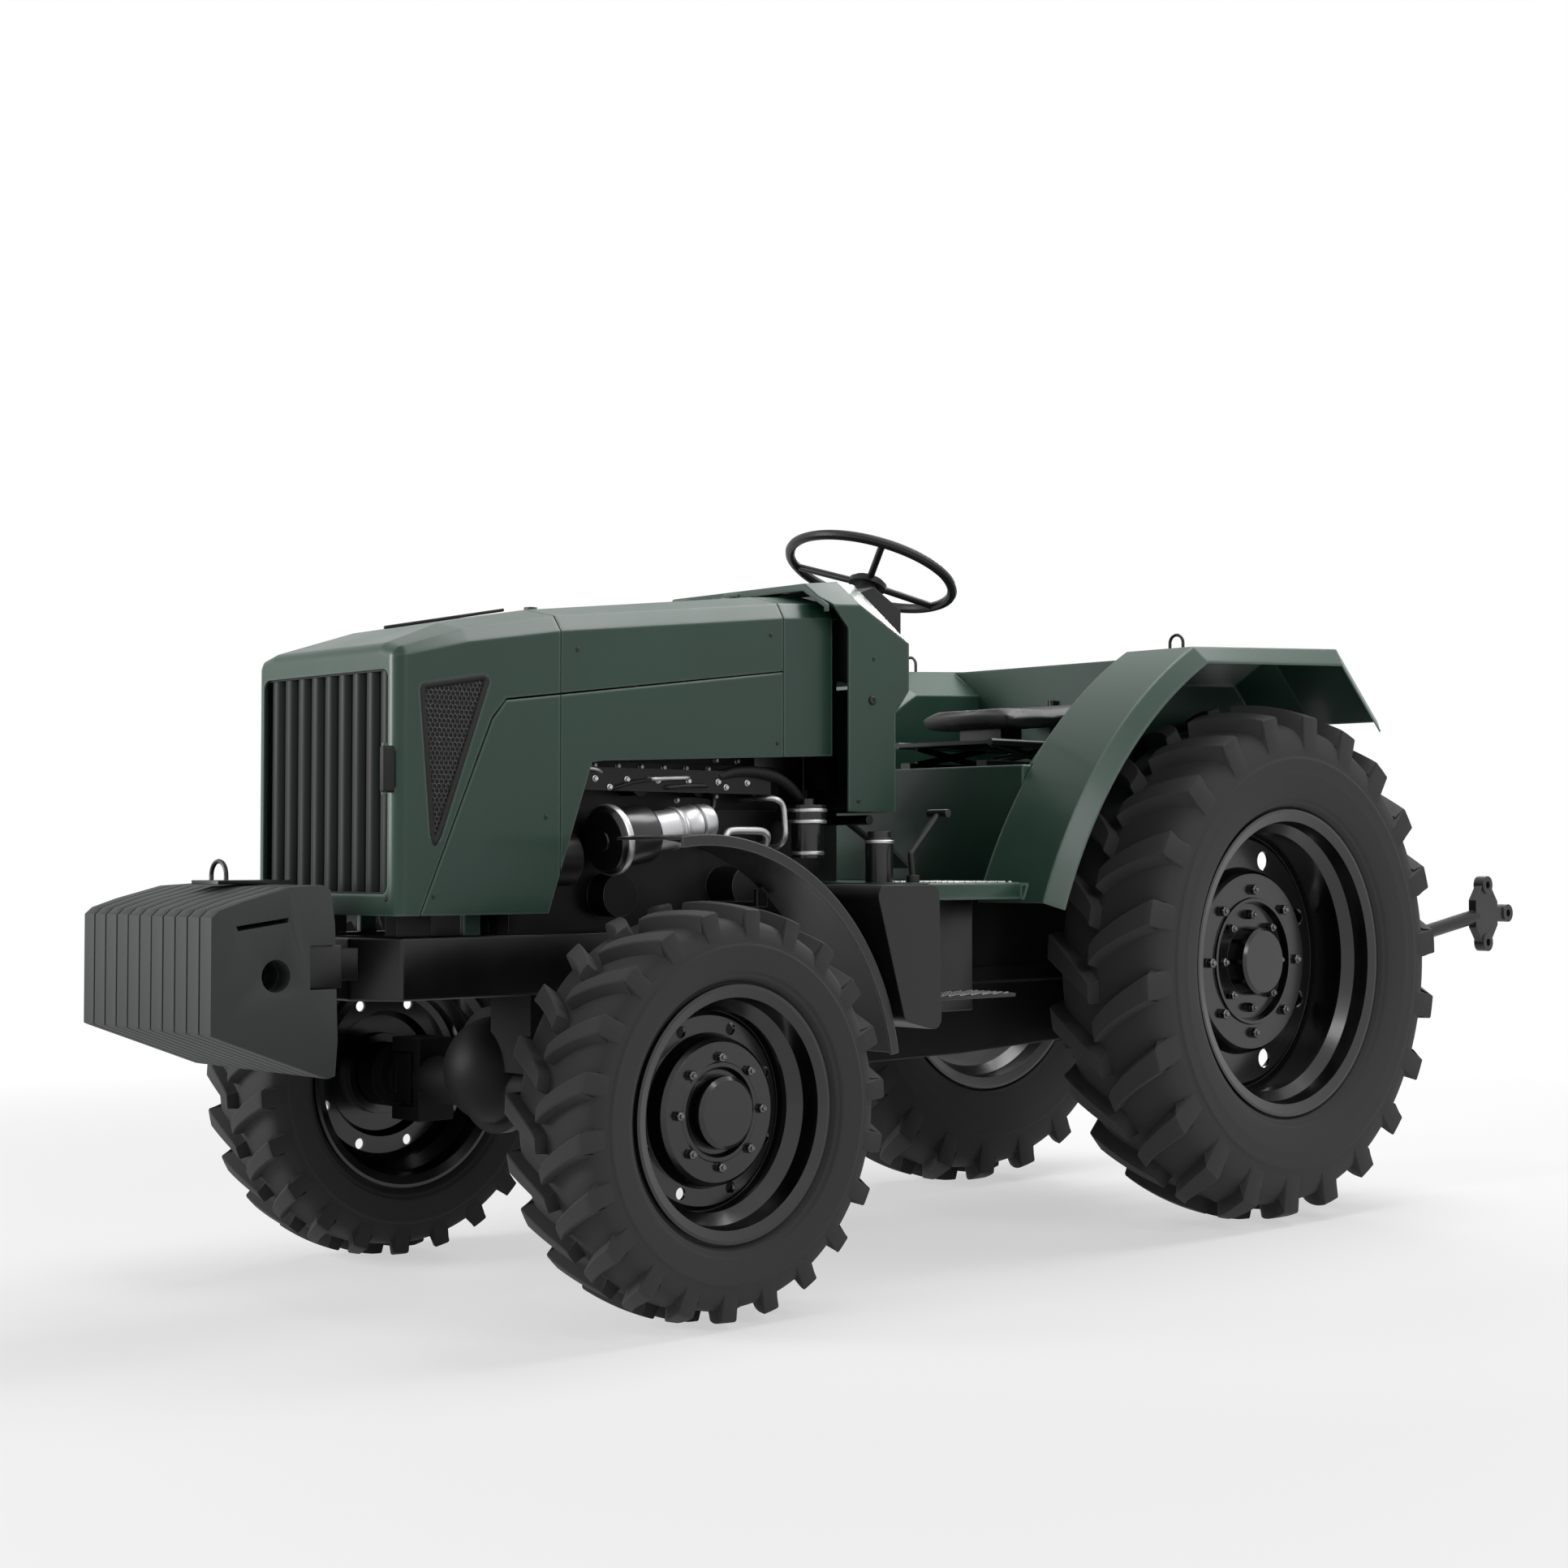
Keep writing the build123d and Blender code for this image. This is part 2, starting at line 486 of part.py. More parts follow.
# ---------------------------------------------------------------- rear axle, gearbox, engine
def build_driveline():
    w = WHEEL["rear"]
    tube_end = w["mid_x"] + disc_back(w) - hub_flange - axle_tube_gap
    gearbox = along_x(poly((case_front_y, gearbox_front_low_z), (case_front_y, gearbox_top_z - 20),
                           (case_front_y + 20, gearbox_top_z), (-axle_case_y, gearbox_top_z),
                           (-axle_case_y, gearbox_rear_low_z), (gearbox_mid_y, gearbox_front_low_z + 5)),
                      -gearbox_half, gearbox_half)
    gearbox += both(block(gearbox_half - embed, gearbox_half + gearbox_rib_out, case_front_y + 35,
                          -axle_case_y - 20, *gearbox_rib_z))
    bell = block(-bell_half, bell_half, case_front_y, case_front_y + bell_deep, gearbox_front_low_z,
                 gearbox_top_z)
    save(gearbox + bell, "transmission")

    case = along_x(poly((-axle_case_y, case_low_z), (-axle_case_y, case_top_z - 30),
                        (-case_flat_y, case_top_z), (case_flat_y, case_top_z), (axle_case_y, case_rear_z),
                        (axle_case_y, case_low_z + 48), (axle_case_y - 75, case_low_z)),
                   -axle_case_half, axle_case_half)
    arm = disc_x(axle_case_half - 5, axle_arm_x, 0, rear_hub_z, axle_arm_r)
    arm += disc_x(axle_arm_x - 20, tube_end, 0, rear_hub_z, axle_tube_r)
    arm += disc_x(tube_end - 22, tube_end, 0, rear_hub_z, axle_end_r)
    arm -= disc_x(tube_end - 64, tube_end + embed, 0, rear_hub_z, half_shaft_r + fit_gap)
    # brackets for the lower link pivots
    ear = along_x(poly((axle_case_y - 130, 560), (axle_case_y - 10, 560),
                       (link_pivot_y + 34, link_pivot_z - 34), (link_pivot_y - 34, link_pivot_z - 34)),
                  axle_case_half - 2, link_pivot_x - 22)
    pivot = disc_x(link_pivot_x - 23, link_pivot_x + 20, link_pivot_y, link_pivot_z, link_pin_r)
    save(case + both(arm + ear + pivot), "rear_axle")

    engine = along_x(poly((case_front_y, 560), (case_front_y, engine_top_z), (engine_front_y, engine_top_z),
                          (engine_front_y, 720), (-1790, 720), (-1740, 560)), -engine_half, engine_half)
    engine += block(-sump_half, sump_half, sump_front_y, case_front_y - 30, sump_low_z, 560 + embed)
    engine += rod((0, engine_front_y, crank_z), (0, fan_boss_y + 4, crank_z), crank_pulley_r)
    engine += rod((0, engine_front_y, fan_z), (0, fan_boss_y, fan_z), 34.0)
    for x, z, radius in PULLEY:
        engine += rod((x, pulley_y[1], z), (x, pulley_y[0], z), radius)
    x, z, radius, y0, y1 = alternator
    engine += rod((x, y0, z), (x, y1, z), radius)
    engine += rod((x, pulley_y[0], z), (x, y0, z), 14.0)
    engine += block(engine_half - embed, x, y1 - 60, y1 - 30, z - 50, z - 20)
    for y, z, radius, x0, x1 in ENGINE_SIDE:
        engine += disc_x(x0, x1, y, z, radius)
    save(engine, "engine_block")

    head = block(-head_half, head_half, *head_y, *head_z)
    head += block(-valve_cover_half, valve_cover_half, *valve_cover_y, head_z[1], valve_cover_z)
    for k in range(port_count):
        y = port_first_y + port_pitch * k
        head += disc_x(head_half - 10, intake[0] + 10, y, 1060, port_r)
        head += disc_x(exhaust[1] - 10, -head_half + 10, y, 1050, port_r + 2)
    head += block(*intake) + block(*exhaust)
    save(head, "cylinder_head")


def build_cooling():
    y0, y1 = radiator_y
    radiator = block(-radiator_half, radiator_half, y0, y1, *radiator_z)
    core = radiator_half - radiator_frame
    radiator -= block(-core, core, y0 - embed, y0 + radiator_in, *radiator_core_z)
    radiator -= block(-core, core, y1 - radiator_in, y1 + embed, *radiator_core_z)
    radiator += both(block(130, 170, y0, y1, rail_top_z, radiator_z[0] + embed))
    neck_y = (y0 + y1) / 2
    radiator += rod((0, neck_y, radiator_z[1] - 12), (0, neck_y, radiator_z[1] + 28), 32.0)
    save(radiator, "radiator")

    fan = rod((0, fan_mid_y - 35, fan_z), (0, fan_mid_y + 35, fan_z), fan_hub_r)
    fan += rod((0, fan_mid_y + 34, fan_z), (0, fan_boss_y - seat_gap, fan_z), fan_shaft_r)
    blade = Pos(0, fan_mid_y, 0) * Rot(0, 0, 30) * Box(62, 4, fan_r - 30)
    for k in range(fan_blades):
        fan += Pos(0, 0, fan_z) * Rot(0, 360.0 * k / fan_blades, 0) * Pos(0, 0, (fan_r + 30) / 2) * blade
    save(fan, "cooling_fan")


# ---------------------------------------------------------------- front frame and ballast
def build_front_frame():
    inner_y = bolster_y + bolster_deep
    rail = block(rail_x0, rail_x1, inner_y - 4, case_front_y, rail_low_z, rail_top_z)
    corner = along_z(poly((rail_x1, inner_y), (rail_x1, bolster_y + 70), (118, bolster_y), (80, bolster_y),
                          (80, inner_y)), rail_low_z, rail_top_z)
    cross = block(-100, 100, bolster_y, inner_y, rail_low_z, rail_top_z)
    seat = block(-190, 190, front_y - 70, front_y + 70, rail_low_z + 5, rail_low_z + 65)
    rear_cross = block(engine_half, rail_x0 + 5, case_front_y - 60, case_front_y, rail_low_z, rail_top_z)
    mount = block(engine_half, rail_x0 + 5, -1980, -1900, rail_low_z + 95, rail_top_z)
    save(cross + both(rail + corner + rear_cross + mount) + seat, "front_frame")

    weight_x1 = weight_x0 + weight_count * weight_pitch - weight_gap
    carrier = block(-150, 150, nose_y + weight_deep + 8, bolster_y, hang_low_z + 10, hang_top_z - 10)
    carrier += block(weight_x0 + 8, weight_x1 - 8, nose_y + hang_in, nose_y + weight_deep + 12,
                     hang_low_z + 2, hang_top_z)
    # riser behind the weights and the lifting eye's plate over them
    depth, eye_top, eye_half, wire = lift_eye
    half_w, half_d, thick = lift_plate
    back_y = nose_y + weight_deep + 14
    carrier += block(-half_w, half_w, back_y - 12, back_y, hang_top_z - 30, weight_top_z + thick)
    carrier += block(-half_w, half_w, nose_y + depth - half_d, back_y, weight_top_z, weight_top_z + thick)
    carrier += shackle(0, nose_y + depth, eye_top, weight_top_z + thick - embed, eye_half, wire)
    save(carrier, "weight_carrier")


def build_ballast():
    """Slab weights hung side by side on a bar and tied by a rod."""
    outline = poly(*[(nose_y + y, z) for y, z in WEIGHT])
    slot = poly(*[(nose_y + y, z) for y, z in WEIGHT_SLOT])
    hole = Pos(nose_y + weight_hole[0], weight_hole[1]) * Circle(weight_hole[2])
    notch = poly((nose_y + hang_in - 1, hang_low_z), (nose_y + weight_deep + past, hang_low_z),
                 (nose_y + weight_deep + past, hang_top_z), (nose_y + hang_in - 1, hang_top_z))
    profile = outline - slot - hole - notch
    stack = []
    for k in range(weight_count):
        x = weight_x0 + weight_pitch * k
        stack.append(along_x(profile, x, x + weight_pitch - weight_gap))
    last_x = weight_x0 + weight_count * weight_pitch - weight_gap
    depth, z, radius = weight_rod
    bar = disc_x(weight_x0 + 6, last_x - 6, nose_y + depth, z, radius)
    save(stack[0].fuse(*stack[1:], bar), "ballast_weights")


def build_front_axle():
    z = front_hub_z
    housing = disc_x(-kingpin_x + 68, kingpin_x - 68, front_y, z, axle_r)
    drum = Pos(diff_x, front_y, diff_z) * Sphere(diff_r)
    drum += rod((diff_x, front_y - 12, diff_z), (diff_x, front_y + 12, diff_z), diff_flange_r)
    nose = rod((diff_x, front_y, diff_z), (diff_x, diff_nose_y, diff_z), diff_nose_r)
    post = block(-70, 70, front_y - 55, front_y + 55, z + 40, rail_low_z + 5)
    x0, x1 = kingpin_x - fork_x[0], kingpin_x + fork_x[1]
    fork = block(x0, x1, front_y - fork_deep, front_y + fork_deep, z + fork_z0, z + fork_z1)
    fork += block(x0, x1, front_y - fork_deep, front_y + fork_deep, z - fork_z1, z - fork_z0)
    fork += block(x0 - 16, x0 + 6, front_y - fork_deep, front_y + fork_deep, z - fork_z1, z + fork_z1)
    shaft = rod((diff_x, diff_nose_y - 2, diff_z), (diff_x, case_front_y, diff_z), prop_r)
    save(housing + drum + nose + post + both(fork) + shaft, "front_axle")

    body = block(kingpin_x - 34, kingpin_x + 30, front_y - 34, front_y + 34, z - fork_z0 + 6,
                 z + fork_z0 - 6)
    pin_low, pin_top = z - fork_z0 + seat_gap, z + fork_z0 - seat_gap
    body += rod((kingpin_x, front_y, pin_low), (kingpin_x, front_y, pin_top), kingpin_r)
    w = WHEEL["front"]
    stub_end = w["mid_x"] + disc_back(w) - front_flange - axle_tube_gap
    body += disc_x(kingpin_x + 20, stub_end, front_y, z, 50.0)
    body += disc_x(kingpin_x + 60, stub_end, front_y, z, 72.0)
    body -= disc_x(stub_end - spindle_reach + 14, stub_end + embed, front_y, z, spindle_r + fit_gap)
    tie_y = front_y + tie_behind
    lever = block(kingpin_x - lever_half, kingpin_x + lever_half, front_y + 20, tie_y, *lever_z)
    lever += rod((kingpin_x, tie_y, lever_z[0]), (kingpin_x, tie_y, lever_z[1]), lever_half)
    pin = rod((kingpin_x, tie_y, tie_z[0] - 3), (kingpin_x, tie_y, lever_z[1] - embed), tie_pin_r)
    knuckle = body + lever + pin
    save(knuckle, "knuckle_left")
    save(mirrored(knuckle), "knuckle_right")

    bar_z = (tie_z[0] + tie_z[1]) / 2
    tie = rod((kingpin_x, tie_y, tie_z[0]), (kingpin_x, tie_y, tie_z[1]), tie_eye_r)
    bore_r = tie_pin_r + fit_gap
    bore = rod((kingpin_x, tie_y, tie_z[0] - embed), (kingpin_x, tie_y, tie_z[1] + embed), bore_r)
    save(both(tie) + disc_x(-kingpin_x, kingpin_x, tie_y, bar_z, tie_bar_r) - both(bore), "tie_rod")


# ---------------------------------------------------------------- hood
def hood_section(y, ridge_z, top_z, flat, inset=0.0):
    """One station of the hood, (x, z) outline, drawn in by inset."""
    side = hood_half - inset
    shoulder = (0.80 * hood_half + 0.20 * flat - inset * 0.8, ridge_z + 0.62 * (top_z - ridge_z) - inset)
    foot_z = hood_base_z - (past if inset else 0)
    half = [(side, foot_z), (side, ridge_z - inset * 0.5), shoulder, (flat, top_z - inset)]
    outline = half + [(-x, z) for x, z in reversed(half)]
    return Plane(origin=(0, y, 0), x_dir=(1, 0, 0), z_dir=(0, -1, 0)) * poly(*outline)


def round_nose(body, radius):
    """Round the edges of a hood body's front face, apart from its foot."""
    edges = [e for e in body.faces().sort_by(Axis.Y)[0].edges() if e.center().Z > hood_base_z + 1]
    return fillet(edges, radius)


def hood_shell_solid():
    """Whole hood from nose to cowl as one open-bottomed sheet, with a pressed line across it."""
    outer = round_nose(loft([hood_section(*row) for row in HOOD], ruled=True), nose_round)
    first, last = (hood_front_y + hood_wall,) + HOOD[0][1:], (hood_rear_y + embed,) + HOOD[-1][1:]
    inner = loft([hood_section(*row, inset=hood_wall) for row in (first, *HOOD[1:-1], last)], ruled=True)
    inner = round_nose(inner, nose_round - hood_wall)
    skin = loft([hood_section(*row, inset=crease_deep) for row in HOOD], ruled=True)
    line = block(-hood_half - past, hood_half + past, crease_y - crease_w / 2, crease_y + crease_w / 2,
                 0, lid_top_z)
    return outer - inner - ((outer - skin) & line)


def side_cut(points):
    """Tool that cuts both hood sides along a (y, z) outline."""
    return along_x(poly(*points), -hood_half - past, hood_half + past)


def hinge_barrels(x0, x1, y0, y1):
    """Two hinge barrels on top of the lid's rear seam, with leaves from y0 to y1."""
    z = lid_top_z + hinge_r + embed
    piece = disc_x(x0, x1, lid_seam_y, z, hinge_r) + block(x0, x1, y0, y1, lid_top_z - 4, lid_top_z + 2)
    return both(piece)


def build_hood():
    shell = hood_shell_solid()
    low, high = hood_base_z - 50, lid_top_z + 120
    rear = hood_rear_y + past
    shell -= side_cut([(cut_foot_y, low), (cut_foot_y, hood_base_z), (cut_top_y, cut_top_z),
                       (cut_bend_y, cut_top_z + 4), (rear, cut_rear_z), (rear, low)])
    line_z = slope(lid_seam_y, *split_high, hood_rear_y, split_rear_z)
    lid_zone = side_cut([(hood_front_y - past, low), (split_foot_y, low), (split_foot_y, hood_base_z),
                         split_low, split_high, (lid_seam_y - seam, line_z), (lid_seam_y - seam, high),
                         (hood_front_y - past, high)])
    side_zone = side_cut([(split_foot_y + seam, low), (split_foot_y + seam, hood_base_z),
                          (split_low[0] + seam, split_low[1] - seam),
                          (split_high[0], split_high[1] - seam - embed),
                          (lid_seam_y - seam, line_z - seam), (lid_seam_y - seam, low)])
    band_zone = side_cut([(lid_seam_y, low), (lid_seam_y, high), (rear, high), (rear, low)])

    window = fillet(make_face(Polyline(*MESH, close=True)).vertices(), mesh_round)
    opening = along_y(RectangleRounded(2 * grille_half, grille_top_z - grille_low_z, grille_round),
                      hood_front_y - past, hood_front_y + 60)
    lid = (shell & lid_zone) - Pos(0, 0, (grille_top_z + grille_low_z) / 2) * opening
    lid -= along_x(window, -hood_half - past, hood_half + past)
    lid += hinge_barrels(*hinge_x, lid_seam_y - leaf_long, lid_seam_y - 1)
    cap_y, cap_r, cap_h = cap_at
    cap_z = slope(cap_y, crease_y, HOOD[2][2], lid_seam_y, lid_top_z)
    lid += rod((0, cap_y, cap_z - hood_wall), (0, cap_y, cap_z + cap_h), cap_r)
    grip_y = hood_front_y - handle_out
    for z in handle_z:
        lid += rod((handle_x, hood_front_y + hood_wall, z), (handle_x, grip_y, z), handle_r - embed)
    low_z, top_z = handle_z[0] - 2 * handle_r, handle_z[1] + 2 * handle_r
    lid += rod((handle_x, grip_y, low_z), (handle_x, grip_y, top_z), handle_r)
    save(lid, "hood_lid")

    inside = hood_half - hood_wall + embed
    left = shell & (side_zone & block(0, 2 * hood_half, hood_front_y, 0, 0, 2000))
    left += block(rail_x1 - 20, inside, -2200, -2160, hood_base_z + 8, hood_base_z + 20)
    left += block(rail_x1 - 20, rail_x1 - 8, -2200, -2160, rail_top_z, hood_base_z + 20)
    left += block(valve_cover_half, inside, lid_seam_y - 91, lid_seam_y - 61, 1130, 1142)
    save(left, "side_panel_left")
    save(mirrored(left), "side_panel_right")

    band = shell & band_zone
    band += block(-inside, inside, hood_rear_y - 22, hood_rear_y - 10, 1380, 1436)
    band += block(-40, 40, hood_rear_y - 11, hood_rear_y + 40, 1400, 1420)
    band += hinge_barrels(*band_hinge_x, lid_seam_y + 1, lid_seam_y + leaf_long)
    save(band, "hood_rear_band")

    # grille: upright half-round ribs in a thin frame behind the hood's front wall
    z0, z1 = grille_low_z - grille_frame, grille_top_z + grille_frame
    y0, y1 = hood_front_y + hood_wall, hood_front_y + hood_wall + rib_back
    half = grille_half + grille_frame
    frame = block(-half, half, y0, y1, z0, z1)
    clear = grille_half - grille_frame
    frame -= block(-clear, clear, y0 - embed, y1 + embed, grille_low_z + grille_frame,
                   grille_top_z - grille_frame)
    pitch = 2 * clear / grille_ribs
    front_y0 = hood_front_y + 2
    for k in range(grille_ribs):
        x = -clear + pitch * (k + 0.5)
        rib = rod((x, y1, grille_low_z + embed), (x, y1, grille_top_z - embed), 0.46 * pitch)
        frame += rib & block(x - pitch, x + pitch, front_y0, y1, 0, 2000)
    save(frame, "grille")

    net = along_x(window, hood_half - hood_wall, hood_half - hood_wall + mesh_t)
    save(both(net), "hood_mesh")


# ---------------------------------------------------------------- cowl, pedestal, steering
def cowl_section(y, side_z, top_z, flat, inset=0.0):
    """One station of the cowl, (x, z) outline, drawn in by inset."""
    side = cowl_half - inset
    half = [(side, cowl_base_z - (past if inset else 0)), (side, side_z - inset * 0.6), (flat, top_z - inset)]
    outline = half + [(-x, z) for x, z in reversed(half)]
    return Plane(origin=(0, y, 0), x_dir=(1, 0, 0), z_dir=(0, -1, 0)) * poly(*outline)


def steering_point(drop):
    """Point of the steering axis below the wheel's centre."""
    centre = Vector(*wheel_centre) - wheel_up * drop
    return (centre.X, centre.Y, centre.Z)


def build_cowl():
    outer = loft([cowl_section(*row) for row in COWL], ruled=True)
    rows = [(COWL[0][0] - 1,) + COWL[0][1:], COWL[1], (COWL[2][0] - sheet,) + COWL[2][1:]]
    inner = loft([cowl_section(*row, inset=sheet) for row in rows], ruled=True)
    wide, low = cowl_half + past, cowl_base_z - 100
    throat = along_x(poly((cowl_front_y - 2, low), (cowl_throat_y - 1, low), (cowl_throat_y, cowl_throat_z),
                          (cowl_front_y - 2, lid_top_z)), -wide, wide)
    knee = along_x(poly((cowl_rear_y + 2, low), (knee_y, low), (knee_y, knee_z),
                        (cowl_rear_y + 2, knee_top_z)), -wide, wide)
    inner -= along_x(poly((cowl_rear_y + 2, low), (knee_y - sheet, low), (knee_y - sheet, knee_z + 2),
                          (cowl_rear_y + 2, knee_top_z + 2 + sheet)), -wide, wide)
    cowl = outer - inner - throat - knee
    cowl -= block(-pod_half - 6, pod_half + 6, cowl_rear_y - past, cowl_rear_y + past, 1300, 1530)
    save(cowl, "cowl")

    front = knee_y - sheet - 6
    post = block(-120, 120, -1200, front, floor_z, 1460)
    post += block(-cowl_half + sheet, cowl_half - sheet, -1190, -1160, cowl_base_z + 7, cowl_base_z + 52)
    save(post, "pedestal")

    pod = along_x(poly((front, 1320), (front, 1500), (-960, 1548), (-868, 1500), (-868, 1440), (-1020, 1310)),
                  -pod_half, pod_half)
    foot, low_hub, low_boss = steering_point(175), steering_point(62), steering_point(64)
    save(pod - rod(foot, low_hub, column_r), "instrument_panel")
    column = rod(foot, low_boss, column_r)
    save(column - rod(steering_point(120), steering_point(0), wheel_shaft_r + fit_gap), "steering_column")

    # wheel: rim, three spokes that drop to a domed hub, shaft
    hub = Plane(origin=wheel_centre, z_dir=wheel_up, x_dir=(1, 0, 0))
    wheel = hub * ring_bar(wheel_r - grip_r, grip_r, 10)
    wheel += rod(steering_point(62), steering_point(wheel_drop + 10), 30.0)
    wheel += rod(steering_point(wheel_drop + 12), steering_point(wheel_drop), wheel_boss_r)
    wheel += rod(steering_point(wheel_drop + embed), steering_point(wheel_drop - 7), 0.8 * wheel_boss_r)
    wheel += rod(steering_point(112), steering_point(60), wheel_shaft_r)
    reach = wheel_r - grip_r
    for angle in spoke_angles:
        a = math.radians(angle)
        tip = (hub * Pos(reach * math.cos(a), reach * math.sin(a), 0)).position
        wheel += rod(steering_point(wheel_drop + 6), (tip.X, tip.Y, tip.Z), 8.5)
    save(wheel, "steering_wheel")


# ---------------------------------------------------------------- platform, seat deck, seat
def build_platform():
    wide, full = deck_wide_half, floor_half
    right = [(full, floor_front_y), (full, floor_rear_y), (wide, floor_rear_y), (wide, bulkhead_y + 40)]
    plan = poly(*right, *[(-x, y) for x, y in reversed(right)])
    slab = along_z(plan, floor_z - floor_band, floor_z)
    hollow = both(block(gearbox_half + 60, full - sheet, floor_front_y + sheet, floor_rear_y - sheet,
                        floor_z - floor_band - embed, floor_z - sheet))
    tunnel = block(-gearbox_half - 4, gearbox_half + 4, floor_front_y - embed, case_front_y + 2, floor_z - 60,
                   floor_z + embed)
    save(slab - hollow - tunnel, "platform")

    step = block(wide, full - 4, step_front_y, step_rear_y, tread_z - tread_t, tread_z)
    step += block(wide, wide + 6, step_front_y, step_rear_y, tread_z - 44, floor_z - sheet)
    save(both(step), "steps")

    def deck_plan(t):
        right = [(wide - t, bulkhead_y + t), (wide - t, deck_step_y - t), (deck_half - t, deck_step_y - t),
                 (deck_half - t, deck_rear_y - t)]
        return poly(*right, *[(-x, y) for x, y in reversed(right)])

    deck = along_z(deck_plan(0.0), floor_z, deck_z)
    deck -= along_z(deck_plan(sheet), floor_z - embed, deck_z - sheet)
    deck -= block(-axle_case_half - 10, axle_case_half + 10, -axle_case_y - 20, deck_rear_y + 5,
                  floor_z - embed, case_top_z + 110)
    save(deck, "seat_deck")

    # rear panel fills the space between the fenders, up to a seam below their crown
    crown_z = slope(deck_rear_y - sheet, *over_tyre(*FENDER[2]), *over_tyre(*FENDER[3]))
    flare = (fender_in_x - fender_wall_x) / fender_haunch
    haunch_z = crown_z - fender_haunch + 2 * seam / flare
    panel_z = crown_z - seam
    corner_x = deck_half + (panel_z - haunch_z) * flare
    right = [(deck_half, deck_z), (deck_half, haunch_z), (corner_x, panel_z)]
    outline = poly(*right, *[(-x, z) for x, z in reversed(right)])
    save(along_y(outline, deck_rear_y - sheet, deck_rear_y), "rear_panel")

    # seat: two rails, crossed links, top plate, riser and the adjusting lever behind
    y0, y1 = seat_rail_y
    plate_low, plate_top = seat_plate_z
    frame = block(-150, 150, y0, y1, plate_low, plate_top)
    link = rod((130, y0 + 40, deck_z + 20), (130, y0 + 300, plate_low + embed), 9.0)
    link += rod((130, y0 + 300, deck_z + 20), (130, y0 + 40, plate_low + embed), 9.0)
    link += block(114, 146, y0, y1, deck_z, deck_z + 24)
    link += rod((158, y0, plate_low + 5), (158, y1, plate_low + 5), 9.0)
    frame += both(link)
    front, rear = SEAT[0][0] + 40, SEAT[0][0] + 120
    under = [(y, slope(y, *SEAT[0], *SEAT[-1])) for y in (front, rear)]
    frame += along_x(poly((front, plate_top - embed), *under, (rear, plate_top - embed)), -70, 70)
    frame += block(-57, -37, y1 - embed, y1 + 68, plate_low, plate_top)
    frame += rod((-47, y1 + 56, plate_low), (-47, y1 + 56, SEAT[5][1]), 6.0)
    frame += rod((-47, y1 + 56, SEAT[5][1] - 12), (-47, y1 + 56, SEAT[5][1] + 24), 10.0)
    save(frame, "seat_frame")
    save(along_x(poly(*SEAT), -seat_half, seat_half), "seat_cushion")


# ---------------------------------------------------------------- fenders
def arc_centre(a, b, c):
    """Centre of the circle through three (y, z) points: where the mid lines of two chords cross."""
    (ay, az), (by, bz), (cy, cz) = a, b, c
    d = 2 * (ay * (bz - cz) + by * (cz - az) + cy * (az - bz))
    aa, bb, cc = ay * ay + az * az, by * by + bz * bz, cy * cy + cz * cz
    centre_y = (aa * (bz - cz) + bb * (cz - az) + cc * (az - bz)) / d
    centre_z = (aa * (cy - by) + bb * (ay - cy) + cc * (by - ay)) / d
    return centre_y, centre_z


def fender_face(x, drop):
    """Closed side outline of the fender at x, with its running edge drawn in by drop."""
    foot, mid, top, crown, tail = [over_tyre(*row) for row in FENDER]
    cy, cz = arc_centre(foot, mid, top)

    def pull(point):
        r = math.hypot(point[0] - cy, point[1] - cz)
        return cy + (point[0] - cy) * (r - drop) / r, cz + (point[1] - cz) * (r - drop) / r

    foot, mid, top = pull(foot), pull(mid), pull(top)
    crown = (crown[0] - 0.4 * drop, crown[1] - drop)
    tail = (tail[0] - 0.7 * drop, tail[1] - 0.7 * drop)
    behind, ahead = [over_tyre(*row) for row in FENDER_INNER]
    edges = [ThreePointArc(foot, mid, top), Line(top, crown), Line(crown, tail), Line(tail, behind),
             Line(behind, ahead), Line(ahead, foot)]
    return Plane(origin=(x, 0, 0), x_dir=(0, 1, 0), z_dir=(1, 0, 0)) * make_face(Wire(edges))


def build_fenders():
    t = sheet
    outer = loft([fender_face(fender_wall_x, fender_haunch), fender_face(fender_in_x, 0),
                  fender_face(fender_ridge_x, 0), fender_face(fender_edge_x, fender_lip)], ruled=True)
    inner = loft([fender_face(fender_wall_x + t, fender_haunch + t), fender_face(fender_in_x + 2, t),
                  fender_face(fender_ridge_x - 2, t), fender_face(fender_edge_x + 14, fender_lip + 20 + t)],
                 ruled=True)
    low = -axle_case_y - 1000
    under = along_x(poly((low, 500), (low, 800), (-900, 800), (-700, 960), (-450, deck_z + 1),
                         (420, deck_z + 1), (420, 500)), fender_wall_x - past, fender_wall_x + 2 * sheet)
    shell = outer - inner - under
    shell -= block(fender_wall_x - 5, fender_in_x + 5, low, 600, 500, deck_z + 1)
    opening = poly(*[over_tyre(*row) for row in WHEEL_OPENING])
    shell -= along_x(opening, fender_wall_x + t + 1, fender_edge_x + past)
    shell += block(fender_in_x + 10, fender_ridge_x - 60, floor_rear_y, floor_rear_y + 24,
                   floor_z - floor_band, floor_z - 4)
    main = max(shell.solids(), key=lambda s: s.volume)
    save(main, "fender_left")
    save(mirrored(main), "fender_right")

    # lifting eyes seated on the crown
    x, y, high, half_width, wire = fender_eye
    crown_z = slope(y, *over_tyre(*FENDER[2]), *over_tyre(*FENDER[3]))
    save(both(shackle(x, y, crown_z + high, crown_z, half_width, wire) - main), "fender_eyes")


